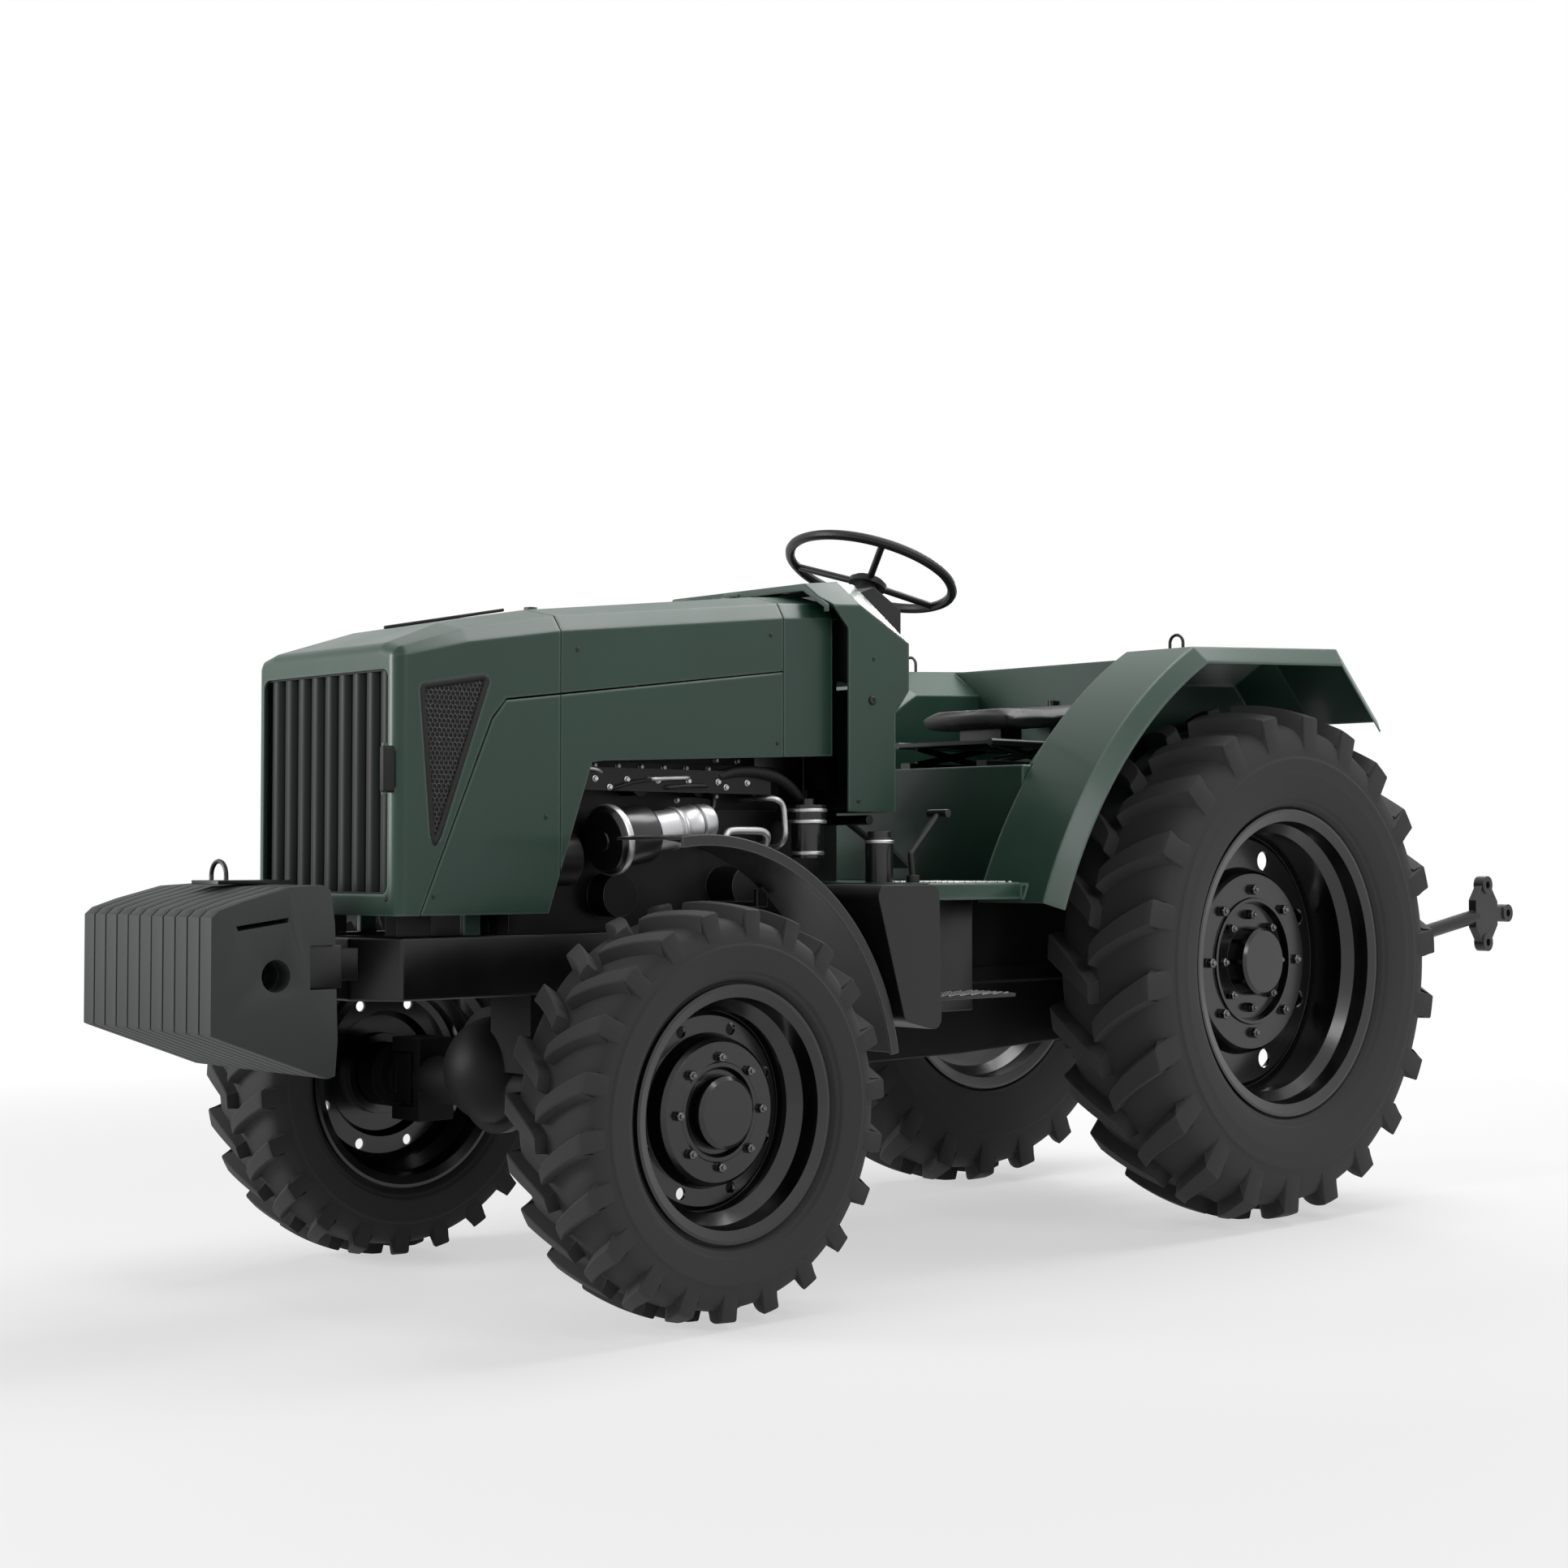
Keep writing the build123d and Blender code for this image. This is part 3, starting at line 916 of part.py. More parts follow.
def build_front_fenders():
    """Curved mudguards over the back of the front tyres, carried from the frame."""
    z = front_hub_z
    far = 700.0
    wedge = poly((front_y, z), (front_y - 92, z + far), (front_y + far, z + far), (front_y + far, z + 110))
    ring = Pos(front_y, z) * (Circle(guard_r) - Circle(guard_r - guard_t))
    edge = Pos(front_y, z) * (Circle(guard_r) - Circle(guard_r - 2 * guard_edge))
    x0, x1 = guard_x
    guard = along_x(ring & wedge, x0, x1) + along_x(edge & wedge, x1 - guard_t, x1)
    y0, y1 = front_y + guard_arm_y - 15, front_y + guard_arm_y + 15
    meet_z = z + math.sqrt((guard_r - guard_t) ** 2 - guard_arm_y ** 2) - 1
    arm = block(rail_x1, x0 + 8, y0, y1, 800, 812)
    arm += block(rail_x1, rail_x1 + 12, y0, y1, rail_top_z - 60, 812)
    arm += block(x0, x0 + 12, y0, y1, 800, meet_z)
    save(both(guard + arm), "front_fenders")


# ---------------------------------------------------------------- tanks and engine side pieces
def build_tanks():
    tank = along_x(poly(*TANK), *tank_x)
    tank = fillet(tank.edges().filter_by(Axis.X), tank_round)
    tank += block(rail_x1, tank_x[0] + embed, case_front_y - 85, floor_front_y - 6, 700, 720)
    save(tank, "fuel_tank")
    save(mirrored(tank), "battery_box")


def build_side_pieces():
    (y0, z0), (y1, z1) = cleaner_front, cleaner_rear

    def on_axis(y):
        return (cleaner_x, y, slope(y, y0, z0, y1, z1))

    cleaner = rod(on_axis(y0), on_axis(y1), cleaner_r)
    cleaner += rod(on_axis(y0 - 6), on_axis(y0 + 22), cleaner_cap_r)
    for y in cleaner_bands:
        cleaner += rod(on_axis(y - 9), on_axis(y + 9), cleaner_band_r)
    cleaner += rod(on_axis(y1 - embed), on_axis(y1 + 34), 0.6 * cleaner_r)
    cleaner += block(engine_half, cleaner_x, y0 + 117, y0 + 147, 880, 900)
    save(cleaner, "air_cleaner")

    x, y = filter_at
    low, high = filter_z
    can = rod((x, y, low), (x, y, high), filter_r)
    can += rod((x, y, high - 42), (x, y, high), filter_r + 6)
    can += rod((x, y, high - embed), (x, y, high + 14), 16.0)
    can += block(engine_half, x, y - 14, y + 14, high - 36, high - 8)
    save(can, "fuel_filter")

    x, y = pot_at
    pot = rod((x, y, floor_z), (x, y, floor_z + pot_h), pot_r)
    pot += rod((x, y, floor_z + pot_h), (x, y, floor_z + pot_h + pot_cap_h), pot_r - 5)
    save(pot, "reservoir")

    shaft_y, shaft_z, shaft_r = pedal_shaft
    controls = both(rod((120, shaft_y, shaft_z), (285, shaft_y, shaft_z), shaft_r))
    for x in PEDAL_X:
        controls += rod((x, shaft_y, shaft_z), (x, -1010, 912), 9.0)
        controls += Pos(x, -1004, 910) * Rot(-35, 0, 0) * Box(54, 90, 10)
    foot, bend, bar = LEVER
    controls += rod((lever_x, foot[0], foot[1]), (lever_x, foot[0], foot[1] + 16), 15.0)
    controls += rod((lever_x, foot[0], foot[1] + 2), (lever_x, *bend), 7.0)
    controls += Pos(lever_x, *bend) * Sphere(7.0)
    controls += rod((lever_x, *bend), (lever_x, *bar), 7.0)
    controls += disc_x(lever_x - 29, lever_x + 29, *bar, 9.0)
    save(controls, "foot_controls")


# ---------------------------------------------------------------- rear linkage
def link_point(y):
    """Point of the left lower link's centre line at station y."""
    s = (y - link_pivot_y) / (hook_y - link_pivot_y)
    return (link_pivot_x + link_splay * s, y, link_pivot_z + (link_eye_z - link_pivot_z) * s)


def build_linkage():
    rod_y = link_pivot_y + lift_reach
    low = link_point(rod_y)
    rise = low[2] - link_pivot_z
    high_z = lift_pivot_z + rise

    rear_z = slope(205, case_flat_y, case_top_z, axle_case_y, case_rear_z)
    housing = along_x(poly((20, case_top_z), (20, 1010), (60, 1050), (180, 1050), (205, 1000), (205, rear_z),
                           (case_flat_y, case_top_z)), -170, 170)
    housing += disc_x(-206, 206, link_pivot_y, lift_pivot_z, 38.0)
    housing -= disc_x(-220, 220, link_pivot_y, lift_pivot_z, rockshaft_r + fit_gap)
    ears = both(block(24, 40, 200, 262, 900, 1000)) - disc_x(-60, 60, 240, 940, top_pin_r)
    save(housing + ears, "lift_housing")

    inner_x, outer_x = arm_x
    outline = poly((link_pivot_y - 10, lift_pivot_z - 52), (link_pivot_y - 10, lift_pivot_z + 52),
                   (rod_y + 24, high_z + 24), (rod_y + 24, high_z - 24))
    arm = along_x(outline, inner_x, outer_x)
    arm += disc_x(inner_x, outer_x, link_pivot_y, lift_pivot_z, rocker_boss_r)
    arm += disc_x(outer_x - 2, rod_x + 14, rod_y, high_z, 13.0)
    shaft = disc_x(-inner_x - 2, inner_x + 2, link_pivot_y, lift_pivot_z, rockshaft_r)
    save(both(arm) + shaft, "lift_arms")

    link = rod(link_point(link_pivot_y + 28), link_point(hook_y - 40), link_r)
    link += disc_x(link_pivot_x - 15, link_pivot_x + 17, link_pivot_y, link_pivot_z, link_boss_r)
    link -= disc_x(link_pivot_x - 30, link_pivot_x + 40, link_pivot_y, link_pivot_z, link_pin_r + fit_gap)
    half_t = hook_t / 2
    front, rear, up = hook_y - 60, hook_y + 60, hook_out
    low_edge = [(front, link_eye_z - 40), (hook_y - 24, link_eye_z - up), (hook_y + 20, link_eye_z - up),
                (rear, link_eye_z - 34)]
    plate = along_x(poly(*low_edge, *[(y, 2 * link_eye_z - z) for y, z in reversed(low_edge)]),
                    link_eye_x - half_t, link_eye_x + half_t)
    plate += block(link_eye_x - half_t, link_eye_x + half_t, rear - 20, hitch_reach - hook_r,
                   link_eye_z - 20, link_eye_z + 20)
    eyes = ((hook_y, link_eye_z + up), (hitch_reach - hook_r, link_eye_z), (hook_y, link_eye_z - up))
    for y, z in eyes:
        plate += disc_x(link_eye_x - 16, link_eye_x + 16, y, z, hook_r)
    for y, z in eyes:
        plate -= disc_x(link_eye_x - 30, link_eye_x + 30, y, z, eye_r)
    left = link + plate + disc_x(rod_x - 12, low[0], low[1], low[2], rod_r)
    save(left, "lower_link_left")
    save(mirrored(left), "lower_link_right")

    lift = rod((rod_x, rod_y, low[2]), (rod_x, rod_y, high_z), rod_r)
    lift += rod((rod_x, rod_y, low[2] + 120), (rod_x, rod_y, low[2] + 330), rod_sleeve_r)
    for z in (low[2], high_z):
        lift += disc_x(rod_x - 14, rod_x + 14, rod_y, z, 26.0)
    lift -= disc_x(rod_x - 30, rod_x + 30, rod_y, high_z, 13.0 + fit_gap)
    lift -= disc_x(rod_x - 30, rod_x + 30, rod_y, low[2], rod_r + 1.0)
    save(lift, "lift_rod_left")
    save(mirrored(lift), "lift_rod_right")


def build_rear_end():
    bar = block(-32, 32, -60, 470, drawbar_z, drawbar_z + 24)
    bar += block(-60, 60, -60, 140, drawbar_z + 24, case_low_z)
    bar -= rod((0, 430, drawbar_z - 10), (0, 430, drawbar_z + 34), 16.5)
    save(bar, "drawbar")
    shaft = rod((0, axle_case_y, pto_z), (0, axle_case_y + 90, pto_z), 17.5)
    shaft += rod((0, axle_case_y, pto_z), (0, axle_case_y + 14, pto_z), 60.0)
    save(shaft, "pto_shaft")


def main():
    os.makedirs("parts", exist_ok=True)
    build_wheels()
    build_driveline()
    build_cooling()
    build_front_frame()
    build_ballast()
    build_front_axle()
    build_hood()
    build_cowl()
    build_platform()
    build_fenders()
    build_front_fenders()
    build_tanks()
    build_side_pieces()
    build_linkage()
    build_rear_end()
    print(len(SAVED), "parts saved")


main()
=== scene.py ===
import json
import math

import bmesh
import bpy
import numpy as np
from bpy.props import FloatProperty, FloatVectorProperty, PointerProperty
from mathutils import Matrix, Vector

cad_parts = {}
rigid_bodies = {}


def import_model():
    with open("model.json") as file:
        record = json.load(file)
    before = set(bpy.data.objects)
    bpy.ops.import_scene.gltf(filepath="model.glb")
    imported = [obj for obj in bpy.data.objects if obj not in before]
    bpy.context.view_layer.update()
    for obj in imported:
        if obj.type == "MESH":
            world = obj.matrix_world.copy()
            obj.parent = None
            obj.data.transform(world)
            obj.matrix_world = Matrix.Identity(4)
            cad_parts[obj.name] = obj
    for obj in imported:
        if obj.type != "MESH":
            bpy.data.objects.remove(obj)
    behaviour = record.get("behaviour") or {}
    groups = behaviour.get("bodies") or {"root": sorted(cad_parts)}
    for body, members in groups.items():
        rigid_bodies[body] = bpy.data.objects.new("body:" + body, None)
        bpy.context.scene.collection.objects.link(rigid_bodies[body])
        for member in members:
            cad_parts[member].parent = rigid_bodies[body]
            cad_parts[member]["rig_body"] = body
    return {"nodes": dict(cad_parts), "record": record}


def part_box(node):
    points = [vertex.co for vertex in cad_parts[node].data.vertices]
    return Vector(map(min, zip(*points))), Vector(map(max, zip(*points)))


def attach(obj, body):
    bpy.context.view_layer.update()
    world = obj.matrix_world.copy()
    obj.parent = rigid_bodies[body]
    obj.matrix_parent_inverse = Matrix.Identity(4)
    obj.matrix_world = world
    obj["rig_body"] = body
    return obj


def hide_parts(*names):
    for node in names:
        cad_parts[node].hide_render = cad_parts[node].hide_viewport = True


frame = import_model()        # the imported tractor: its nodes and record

bl_info = {
    "name": "Farm tractor dressing",
    "version": (1, 0, 0),
    "blender": (4, 5, 0),
    "location": "3D View > Sidebar > Tractor",
    "description": "Tyres, seat, trim, fittings, finishes and stage around the packed farm tractor",
    "category": "Object",
}

NODES = frame["nodes"]
SLOT_OF = {row["node"]: row["material_slot"] for row in frame["record"]["subparts"]}
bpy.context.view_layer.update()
REAR_AXLE_Y = sum(corner.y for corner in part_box("tyre_rear_left")) / 2
SIDES = (1, -1)
MERGE = 2e-6                        # metres between points of a piece that become one
CAD_MERGE = 1e-5                    # the same for a CAD node's loose triangles
CREASE = math.radians(34.0)         # edges of a piece that turn by more than this stay sharp


# ---------------------------------------------------------------- points, surfaces and pieces
# Surfaces are worked out in millimetres: x across, y from the rear axle line with the front at minus, and z
# from the ground.
def place(points):
    """Millimetres from the rear axle line become metres in the shared frame."""
    return np.asarray(points, float) / 1000.0 + (0.0, REAR_AXLE_Y, 0.0)


def span(node):
    """Lowest and highest corner of a CAD node, in millimetres from the rear axle line."""
    lo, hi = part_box(node)
    return tuple((np.array(c) - (0.0, REAR_AXLE_Y, 0.0)) * 1000.0 for c in (lo, hi))


def quads(rows, cols, wrap_rows=False, wrap_cols=False):
    """Quads between neighbouring rows and columns of a grid; a wrapped side joins its last to its first."""
    i, j = np.meshgrid(np.arange(rows - (not wrap_rows)), np.arange(cols - (not wrap_cols)), indexing="ij")
    c, d = (i + 1) % rows, (j + 1) % cols
    return np.stack([i * cols + j, i * cols + d, c * cols + d, c * cols + j], -1).reshape(-1, 4)


def sheet_of(grid, wrap_rows=False, wrap_cols=False, caps=False):
    """A surface from a grid of points, its end rows closed by one face each where caps is set."""
    rows, cols = grid.shape[:2]
    faces = [quads(rows, cols, wrap_rows, wrap_cols)]
    if caps:
        ring = np.arange(cols)
        faces += [ring[None, ::-1], ring[None] + (rows - 1) * cols]
    return grid.reshape(-1, 3), faces


def repeated(copies):
    """Many grids of one size, each closed by one face under its border."""
    count, rows, cols = copies.shape[:3]
    base = quads(rows, cols)
    border = np.concatenate([np.arange(cols), np.arange(1, rows) * cols + cols - 1,
                             np.arange(cols - 2, -1, -1) + (rows - 1) * cols,
                             np.arange(rows - 2, 0, -1) * cols])[::-1]
    start = (np.arange(count) * rows * cols)[:, None, None]
    return copies.reshape(-1, 3), [(base[None] + start).reshape(-1, 4), border[None] + start[:, 0]]


def smooth_curve(points, per_span=8, closed=False):
    """Catmull-Rom curve: each span blends its four neighbouring points with cubic weights."""
    p = np.asarray(points, float)
    a = np.vstack([p[-1:], p, p[:2]]) if closed else np.vstack([2 * p[0] - p[1], p, 2 * p[-1] - p[-2]])
    t = np.linspace(0, 1, per_span, endpoint=False)[None, :, None]
    p0, p1, p2, p3 = a[:-3, None], a[1:-2, None], a[2:-1, None], a[3:, None]
    q = 0.5 * (2 * p1 + (p2 - p0) * t + (2 * p0 - 5 * p1 + 4 * p2 - p3) * t ** 2
               + (3 * p1 - p0 - 3 * p2 + p3) * t ** 3)
    q = q.reshape(-1, p.shape[1])
    return q if closed else np.vstack([q, p[-1:]])


def round_corners(points, radius, steps=8):
    """Closed outline with rounded corners: each blends its two tangent points with quadratic weights."""
    p = np.asarray(points, float)
    back, ahead = np.roll(p, 1, 0) - p, np.roll(p, -1, 0) - p
    back /= np.linalg.norm(back, axis=1, keepdims=True)
    ahead /= np.linalg.norm(ahead, axis=1, keepdims=True)
    half = np.arccos(np.clip((back * ahead).sum(1), -1, 1)) / 2
    cut = (radius / np.tan(half))[:, None]
    t = np.linspace(0, 1, steps)[None, :, None]
    a, b = (p + back * cut)[:, None], (p + ahead * cut)[:, None]
    return ((1 - t) ** 2 * a + 2 * t * (1 - t) * p[:, None] + t ** 2 * b).reshape(-1, p.shape[1])


def circle(radius, sides, start=0.0):
    """Points (across, up) of a round section."""
    a = np.linspace(0, 2 * math.pi, sides, endpoint=False) + start
    return radius * np.stack([np.cos(a), np.sin(a)], 1)


def carried(path, section, closed=False, up=(0.0, 0.0, 1.0)):
    """A flat section carried along a path: across is the path's direction crossed with up."""
    path, section = np.asarray(path, float), np.asarray(section, float)
    run = np.roll(path, -1, 0) - np.roll(path, 1, 0) if closed else np.gradient(path, axis=0)
    run /= np.linalg.norm(run, axis=1, keepdims=True)
    side = np.cross(run, up)
    side /= np.linalg.norm(side, axis=1, keepdims=True)
    rise = np.cross(side, run)
    grid = path[:, None] + section[None, :, :1] * side[:, None] + section[None, :, 1:] * rise[:, None]
    return sheet_of(grid, wrap_rows=closed, wrap_cols=True, caps=not closed)


def tube(points, radius, sides=14, per_span=8, up=(0.0, 0.0, 1.0), closed=False):
    """A round pipe along a smooth curve through the points."""
    return carried(smooth_curve(points, per_span, closed), circle(radius, sides), closed, up)


def turned(profile, origin, axis, sides=32):
    """A profile of (along, radius) turned about an axis, closed by a face at each end."""
    axis = np.asarray(axis, float) / np.linalg.norm(axis)
    one = np.cross(axis, (0.3, 0.2, 1.0) if abs(axis[2]) < 0.9 else (1.0, 0.2, 0.1))
    one /= np.linalg.norm(one)
    two = np.cross(axis, one)
    profile = np.asarray(profile, float)
    ring = circle(1.0, sides)
    grid = (np.asarray(origin, float) + profile[:, None, :1] * axis
            + profile[:, None, 1:] * (ring[None, :, :1] * one + ring[None, :, 1:] * two))
    return sheet_of(grid, wrap_cols=True, caps=True)


def slab(outline, low, high, axis, edge=1.5):
    """A flat outline given thickness along an axis; its rims step in by edge for a rounded-looking corner."""
    outline = np.asarray(outline, float)
    ahead = np.roll(outline, -1, 0) - np.roll(outline, 1, 0)
    out = np.stack([ahead[:, 1], -ahead[:, 0]], 1) / np.linalg.norm(ahead, axis=1, keepdims=True)
    area = (outline[:, 0] * np.roll(outline[:, 1], -1) - np.roll(outline[:, 0], -1) * outline[:, 1]).sum()
    out *= 1.0 if area > 0 else -1.0
    steps = np.array([(low, edge), (low + 0.3 * edge, 0.3 * edge), (low + edge, 0.0), (high - edge, 0.0),
                      (high - 0.3 * edge, 0.3 * edge), (high, edge)])
    flat = outline[None] - out[None] * steps[:, None, 1:]
    level = np.broadcast_to(steps[:, None, :1], flat.shape[:2] + (1,))
    order = {"x": (2, 0, 1), "y": (0, 2, 1), "z": (0, 1, 2)}[axis]
    grid = np.concatenate([flat, level], -1)[:, :, order]
    return sheet_of(grid, wrap_cols=True, caps=True)


def box_slab(lo, hi, edge=1.5, corner=3.0):
    """A block between two corners, rounded in plan and at its rims."""
    plan = [(lo[0], lo[1]), (hi[0], lo[1]), (hi[0], hi[1]), (lo[0], hi[1])]
    return slab(round_corners(plan, corner, 4), lo[2], hi[2], "z", edge)


def bolt(origin, axis, radius, height):
    """A hexagon head with a chamfered top on a round washer."""
    washer = [(-1.0, 1.3 * radius), (0.14 * height, 1.3 * radius), (0.2 * height, 1.2 * radius)]
    head = [(0.1 * height, radius), (0.85 * height, radius), (height, 0.82 * radius)]
    return [turned(washer, origin, axis, 20), turned(head, origin, axis, 6)]


def screw(origin, axis, radius):
    """A low round head with a dished recess in its middle."""
    h = 0.45 * radius
    return turned([(-1.0, radius), (0.3 * h, radius), (0.8 * h, 0.86 * radius), (h, 0.6 * radius),
                   (h, 0.42 * radius), (0.45 * h, 0.34 * radius)], origin, axis, 18)


def piece(name, surfaces, material, like, replaces=()):
    """One mesh from surfaces, merged and facing outwards, riding with the CAD node it is like."""
    points, loops, sizes, start = [], [], [], 0
    for co, faces in surfaces:
        points.append(co)
        for block in faces:
            loops.append((block + start).ravel())
            sizes.append(np.full(len(block), block.shape[1]))
        start += len(co)
    points, loops, sizes = np.vstack(points), np.concatenate(loops), np.concatenate(sizes)
    mesh = bpy.data.meshes.new(name)
    mesh.vertices.add(len(points))
    mesh.vertices.foreach_set("co", place(points).astype(np.float32).ravel())
    mesh.loops.add(len(loops))
    mesh.loops.foreach_set("vertex_index", loops.astype(np.int32))
    mesh.polygons.add(len(sizes))
    mesh.polygons.foreach_set("loop_start", (np.cumsum(sizes) - sizes).astype(np.int32))
    mesh.update(calc_edges=True)
    mesh.validate()
    tidy(mesh)
    mesh.polygons.foreach_set("use_smooth", np.ones(len(mesh.polygons), bool))
    mesh.set_sharp_from_angle(angle=CREASE)
    mesh.materials.append(material)
    obj = bpy.data.objects.new(name, mesh)
    bpy.context.scene.collection.objects.link(obj)
    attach(obj, NODES[like]["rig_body"])
    if replaces:
        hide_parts(*replaces)
    return obj


def tidy(mesh):
    """Merges doubled points and turns every closed surface outwards."""
    work = bmesh.new()
    work.from_mesh(mesh)
    bmesh.ops.remove_doubles(work, verts=work.verts, dist=MERGE)
    bmesh.ops.recalc_face_normals(work, faces=work.faces)
    work.to_mesh(mesh)
    work.free()


def softened(node, width, segments=2, sharp=28.0):
    """A copy of a CAD node, its triangles merged into flat faces, whose edges that turn by more than sharp
    degrees are rounded to a width in mm."""
    mesh = NODES[node].data.copy()
    work = bmesh.new()
    work.from_mesh(mesh)
    bmesh.ops.remove_doubles(work, verts=work.verts, dist=CAD_MERGE)
    bmesh.ops.dissolve_limit(work, angle_limit=math.radians(0.5), verts=work.verts, edges=work.edges)
    work.to_mesh(mesh)
    work.free()
    mesh.name = f"{node}_rounded"
    mesh.polygons.foreach_set("use_smooth", np.ones(len(mesh.polygons), bool))
    obj = bpy.data.objects.new(mesh.name, mesh)
    bpy.context.scene.collection.objects.link(obj)
    rim = obj.modifiers.new("rim", "BEVEL")
    rim.limit_method, rim.angle_limit = "ANGLE", math.radians(sharp)
    rim.width, rim.segments = width / 1000.0, segments
    rim.harden_normals = True
    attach(obj, NODES[node]["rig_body"])
    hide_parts(node)
    return obj


# ---------------------------------------------------------------- node trees
class Tree:
    """Short calls for the nodes of one material or group."""

    def __init__(self, tree):
        self.tree = tree

    def node(self, kind, inputs=None, **settings):
        """A new shader node with its settings, and its inputs by name or number."""
        made = self.tree.nodes.new("ShaderNode" + kind)
        for key, value in settings.items():
            setattr(made, key, value)
        for key, value in (inputs or {}).items():
            self.feed(made.inputs[key], value)
        return made

    def feed(self, socket, value):
        """Links an output to the socket, or sets a plain value on it."""
        if isinstance(value, bpy.types.NodeSocket):
            self.tree.links.new(value, socket)
        else:
            socket.default_value = value

    def math(self, operation, *values, clamp=False):
        """The result of a Math node on the values."""
        return self.node("Math", dict(enumerate(values)), operation=operation, use_clamp=clamp).outputs[0]

    def ramp(self, value, low, high, to_low=0.0, to_high=1.0):
        """The value's run from low to high as a straight line from to_low to to_high, held at its ends."""
        return self.node("MapRange", {"Value": value, "From Min": low, "From Max": high, "To Min": to_low,
                                      "To Max": to_high}, clamp=True).outputs[0]

    def mix(self, factor, a, b):
        """Colour a where factor is 0 and b where it is 1."""
        return self.node("Mix", {0: factor, 6: a, 7: b}, data_type="RGBA").outputs[2]

    def use(self, group, inputs):
        """The outputs of a node group placed in this tree."""
        made = self.tree.nodes.new("ShaderNodeGroup")
        made.node_tree = group
        for key, value in inputs.items():
            self.feed(made.inputs[key], value)
        return made.outputs


def new_group(name, inputs, outputs):
    """A shader node group with named sockets; gives its tree, its input sockets and its output node."""
    group = bpy.data.node_groups.new(name, "ShaderNodeTree")
    for key, kind, default in inputs:
        made = group.interface.new_socket(key, in_out="INPUT", socket_type="NodeSocket" + kind)
        if default is not None:
            made.default_value = default
    for key, kind in outputs:
        group.interface.new_socket(key, in_out="OUTPUT", socket_type="NodeSocket" + kind)
    tree = Tree(group)
    return group, tree, group.nodes.new("NodeGroupInput"), group.nodes.new("NodeGroupOutput")


def rounded_edge_group():
    """Rounded edges: the normal averaged within Radius, and Edge where it turns away from the face's own."""
    group, t, given, out = new_group(
        "rounded_edge", [("Radius", "Float", 0.002), ("Gain", "Float", 4.0)],
        [("Normal", "Vector"), ("Edge", "Float")])
    soft = t.node("Bevel", {"Radius": given.outputs["Radius"]}, samples=4).outputs[0]
    face = t.node("NewGeometry").outputs["Normal"]
    same = t.node("VectorMath", {0: soft, 1: face}, operation="DOT_PRODUCT").outputs["Value"]
    turned_away = t.math("SUBTRACT", 1.0, same)
    # Edge marks where make_finish lays its painted highlight, a lighter colour standing in for light caught
    # by edges
    t.feed(out.inputs["Edge"], t.math("MULTIPLY", turned_away, given.outputs["Gain"], clamp=True))
    t.feed(out.inputs["Normal"], soft)
    return group


def surface_grain_group():
    """Surface grain: fine noise as Height, wide soft patches as Patch."""
    group, t, given, out = new_group(
        "surface_grain",
        [("Vector", "Vector", None), ("Scale", "Float", 400.0), ("Patch Scale", "Float", 3.0)],
        [("Height", "Float"), ("Patch", "Float")])
    fine = t.node("TexNoise", {"Vector": given.outputs["Vector"], "Scale": given.outputs["Scale"],
                               "Detail": 3.0, "Roughness": 0.6}).outputs[0]
    wide = t.node("TexNoise", {"Vector": given.outputs["Vector"], "Scale": given.outputs["Patch Scale"],
                               "Detail": 4.0, "Roughness": 0.55}).outputs[0]
    t.feed(out.inputs["Height"], fine)
    t.feed(out.inputs["Patch"], t.ramp(wide, 0.35, 0.65))
    return group


def dust_group():
    """Dust: stronger towards the ground and broken up by noise."""
    group, t, given, out = new_group(
        "dust", [("Vector", "Vector", None), ("Top", "Float", 1.0), ("Amount", "Float", 0.3)],
        [("Mask", "Float")])
    z = t.node("SeparateXYZ", {0: given.outputs["Vector"]}).outputs["Z"]
    low = t.math("SUBTRACT", 1.0, t.math("DIVIDE", z, given.outputs["Top"]), clamp=True)
    noise = t.node("TexNoise", {"Vector": given.outputs["Vector"], "Scale": 14.0, "Detail": 6.0,
                                "Roughness": 0.65}).outputs[0]
    spots = t.ramp(noise, 0.42, 0.72)
    t.feed(out.inputs["Mask"], t.math("MULTIPLY", t.math("MULTIPLY", low, spots), given.outputs["Amount"]))
    return group
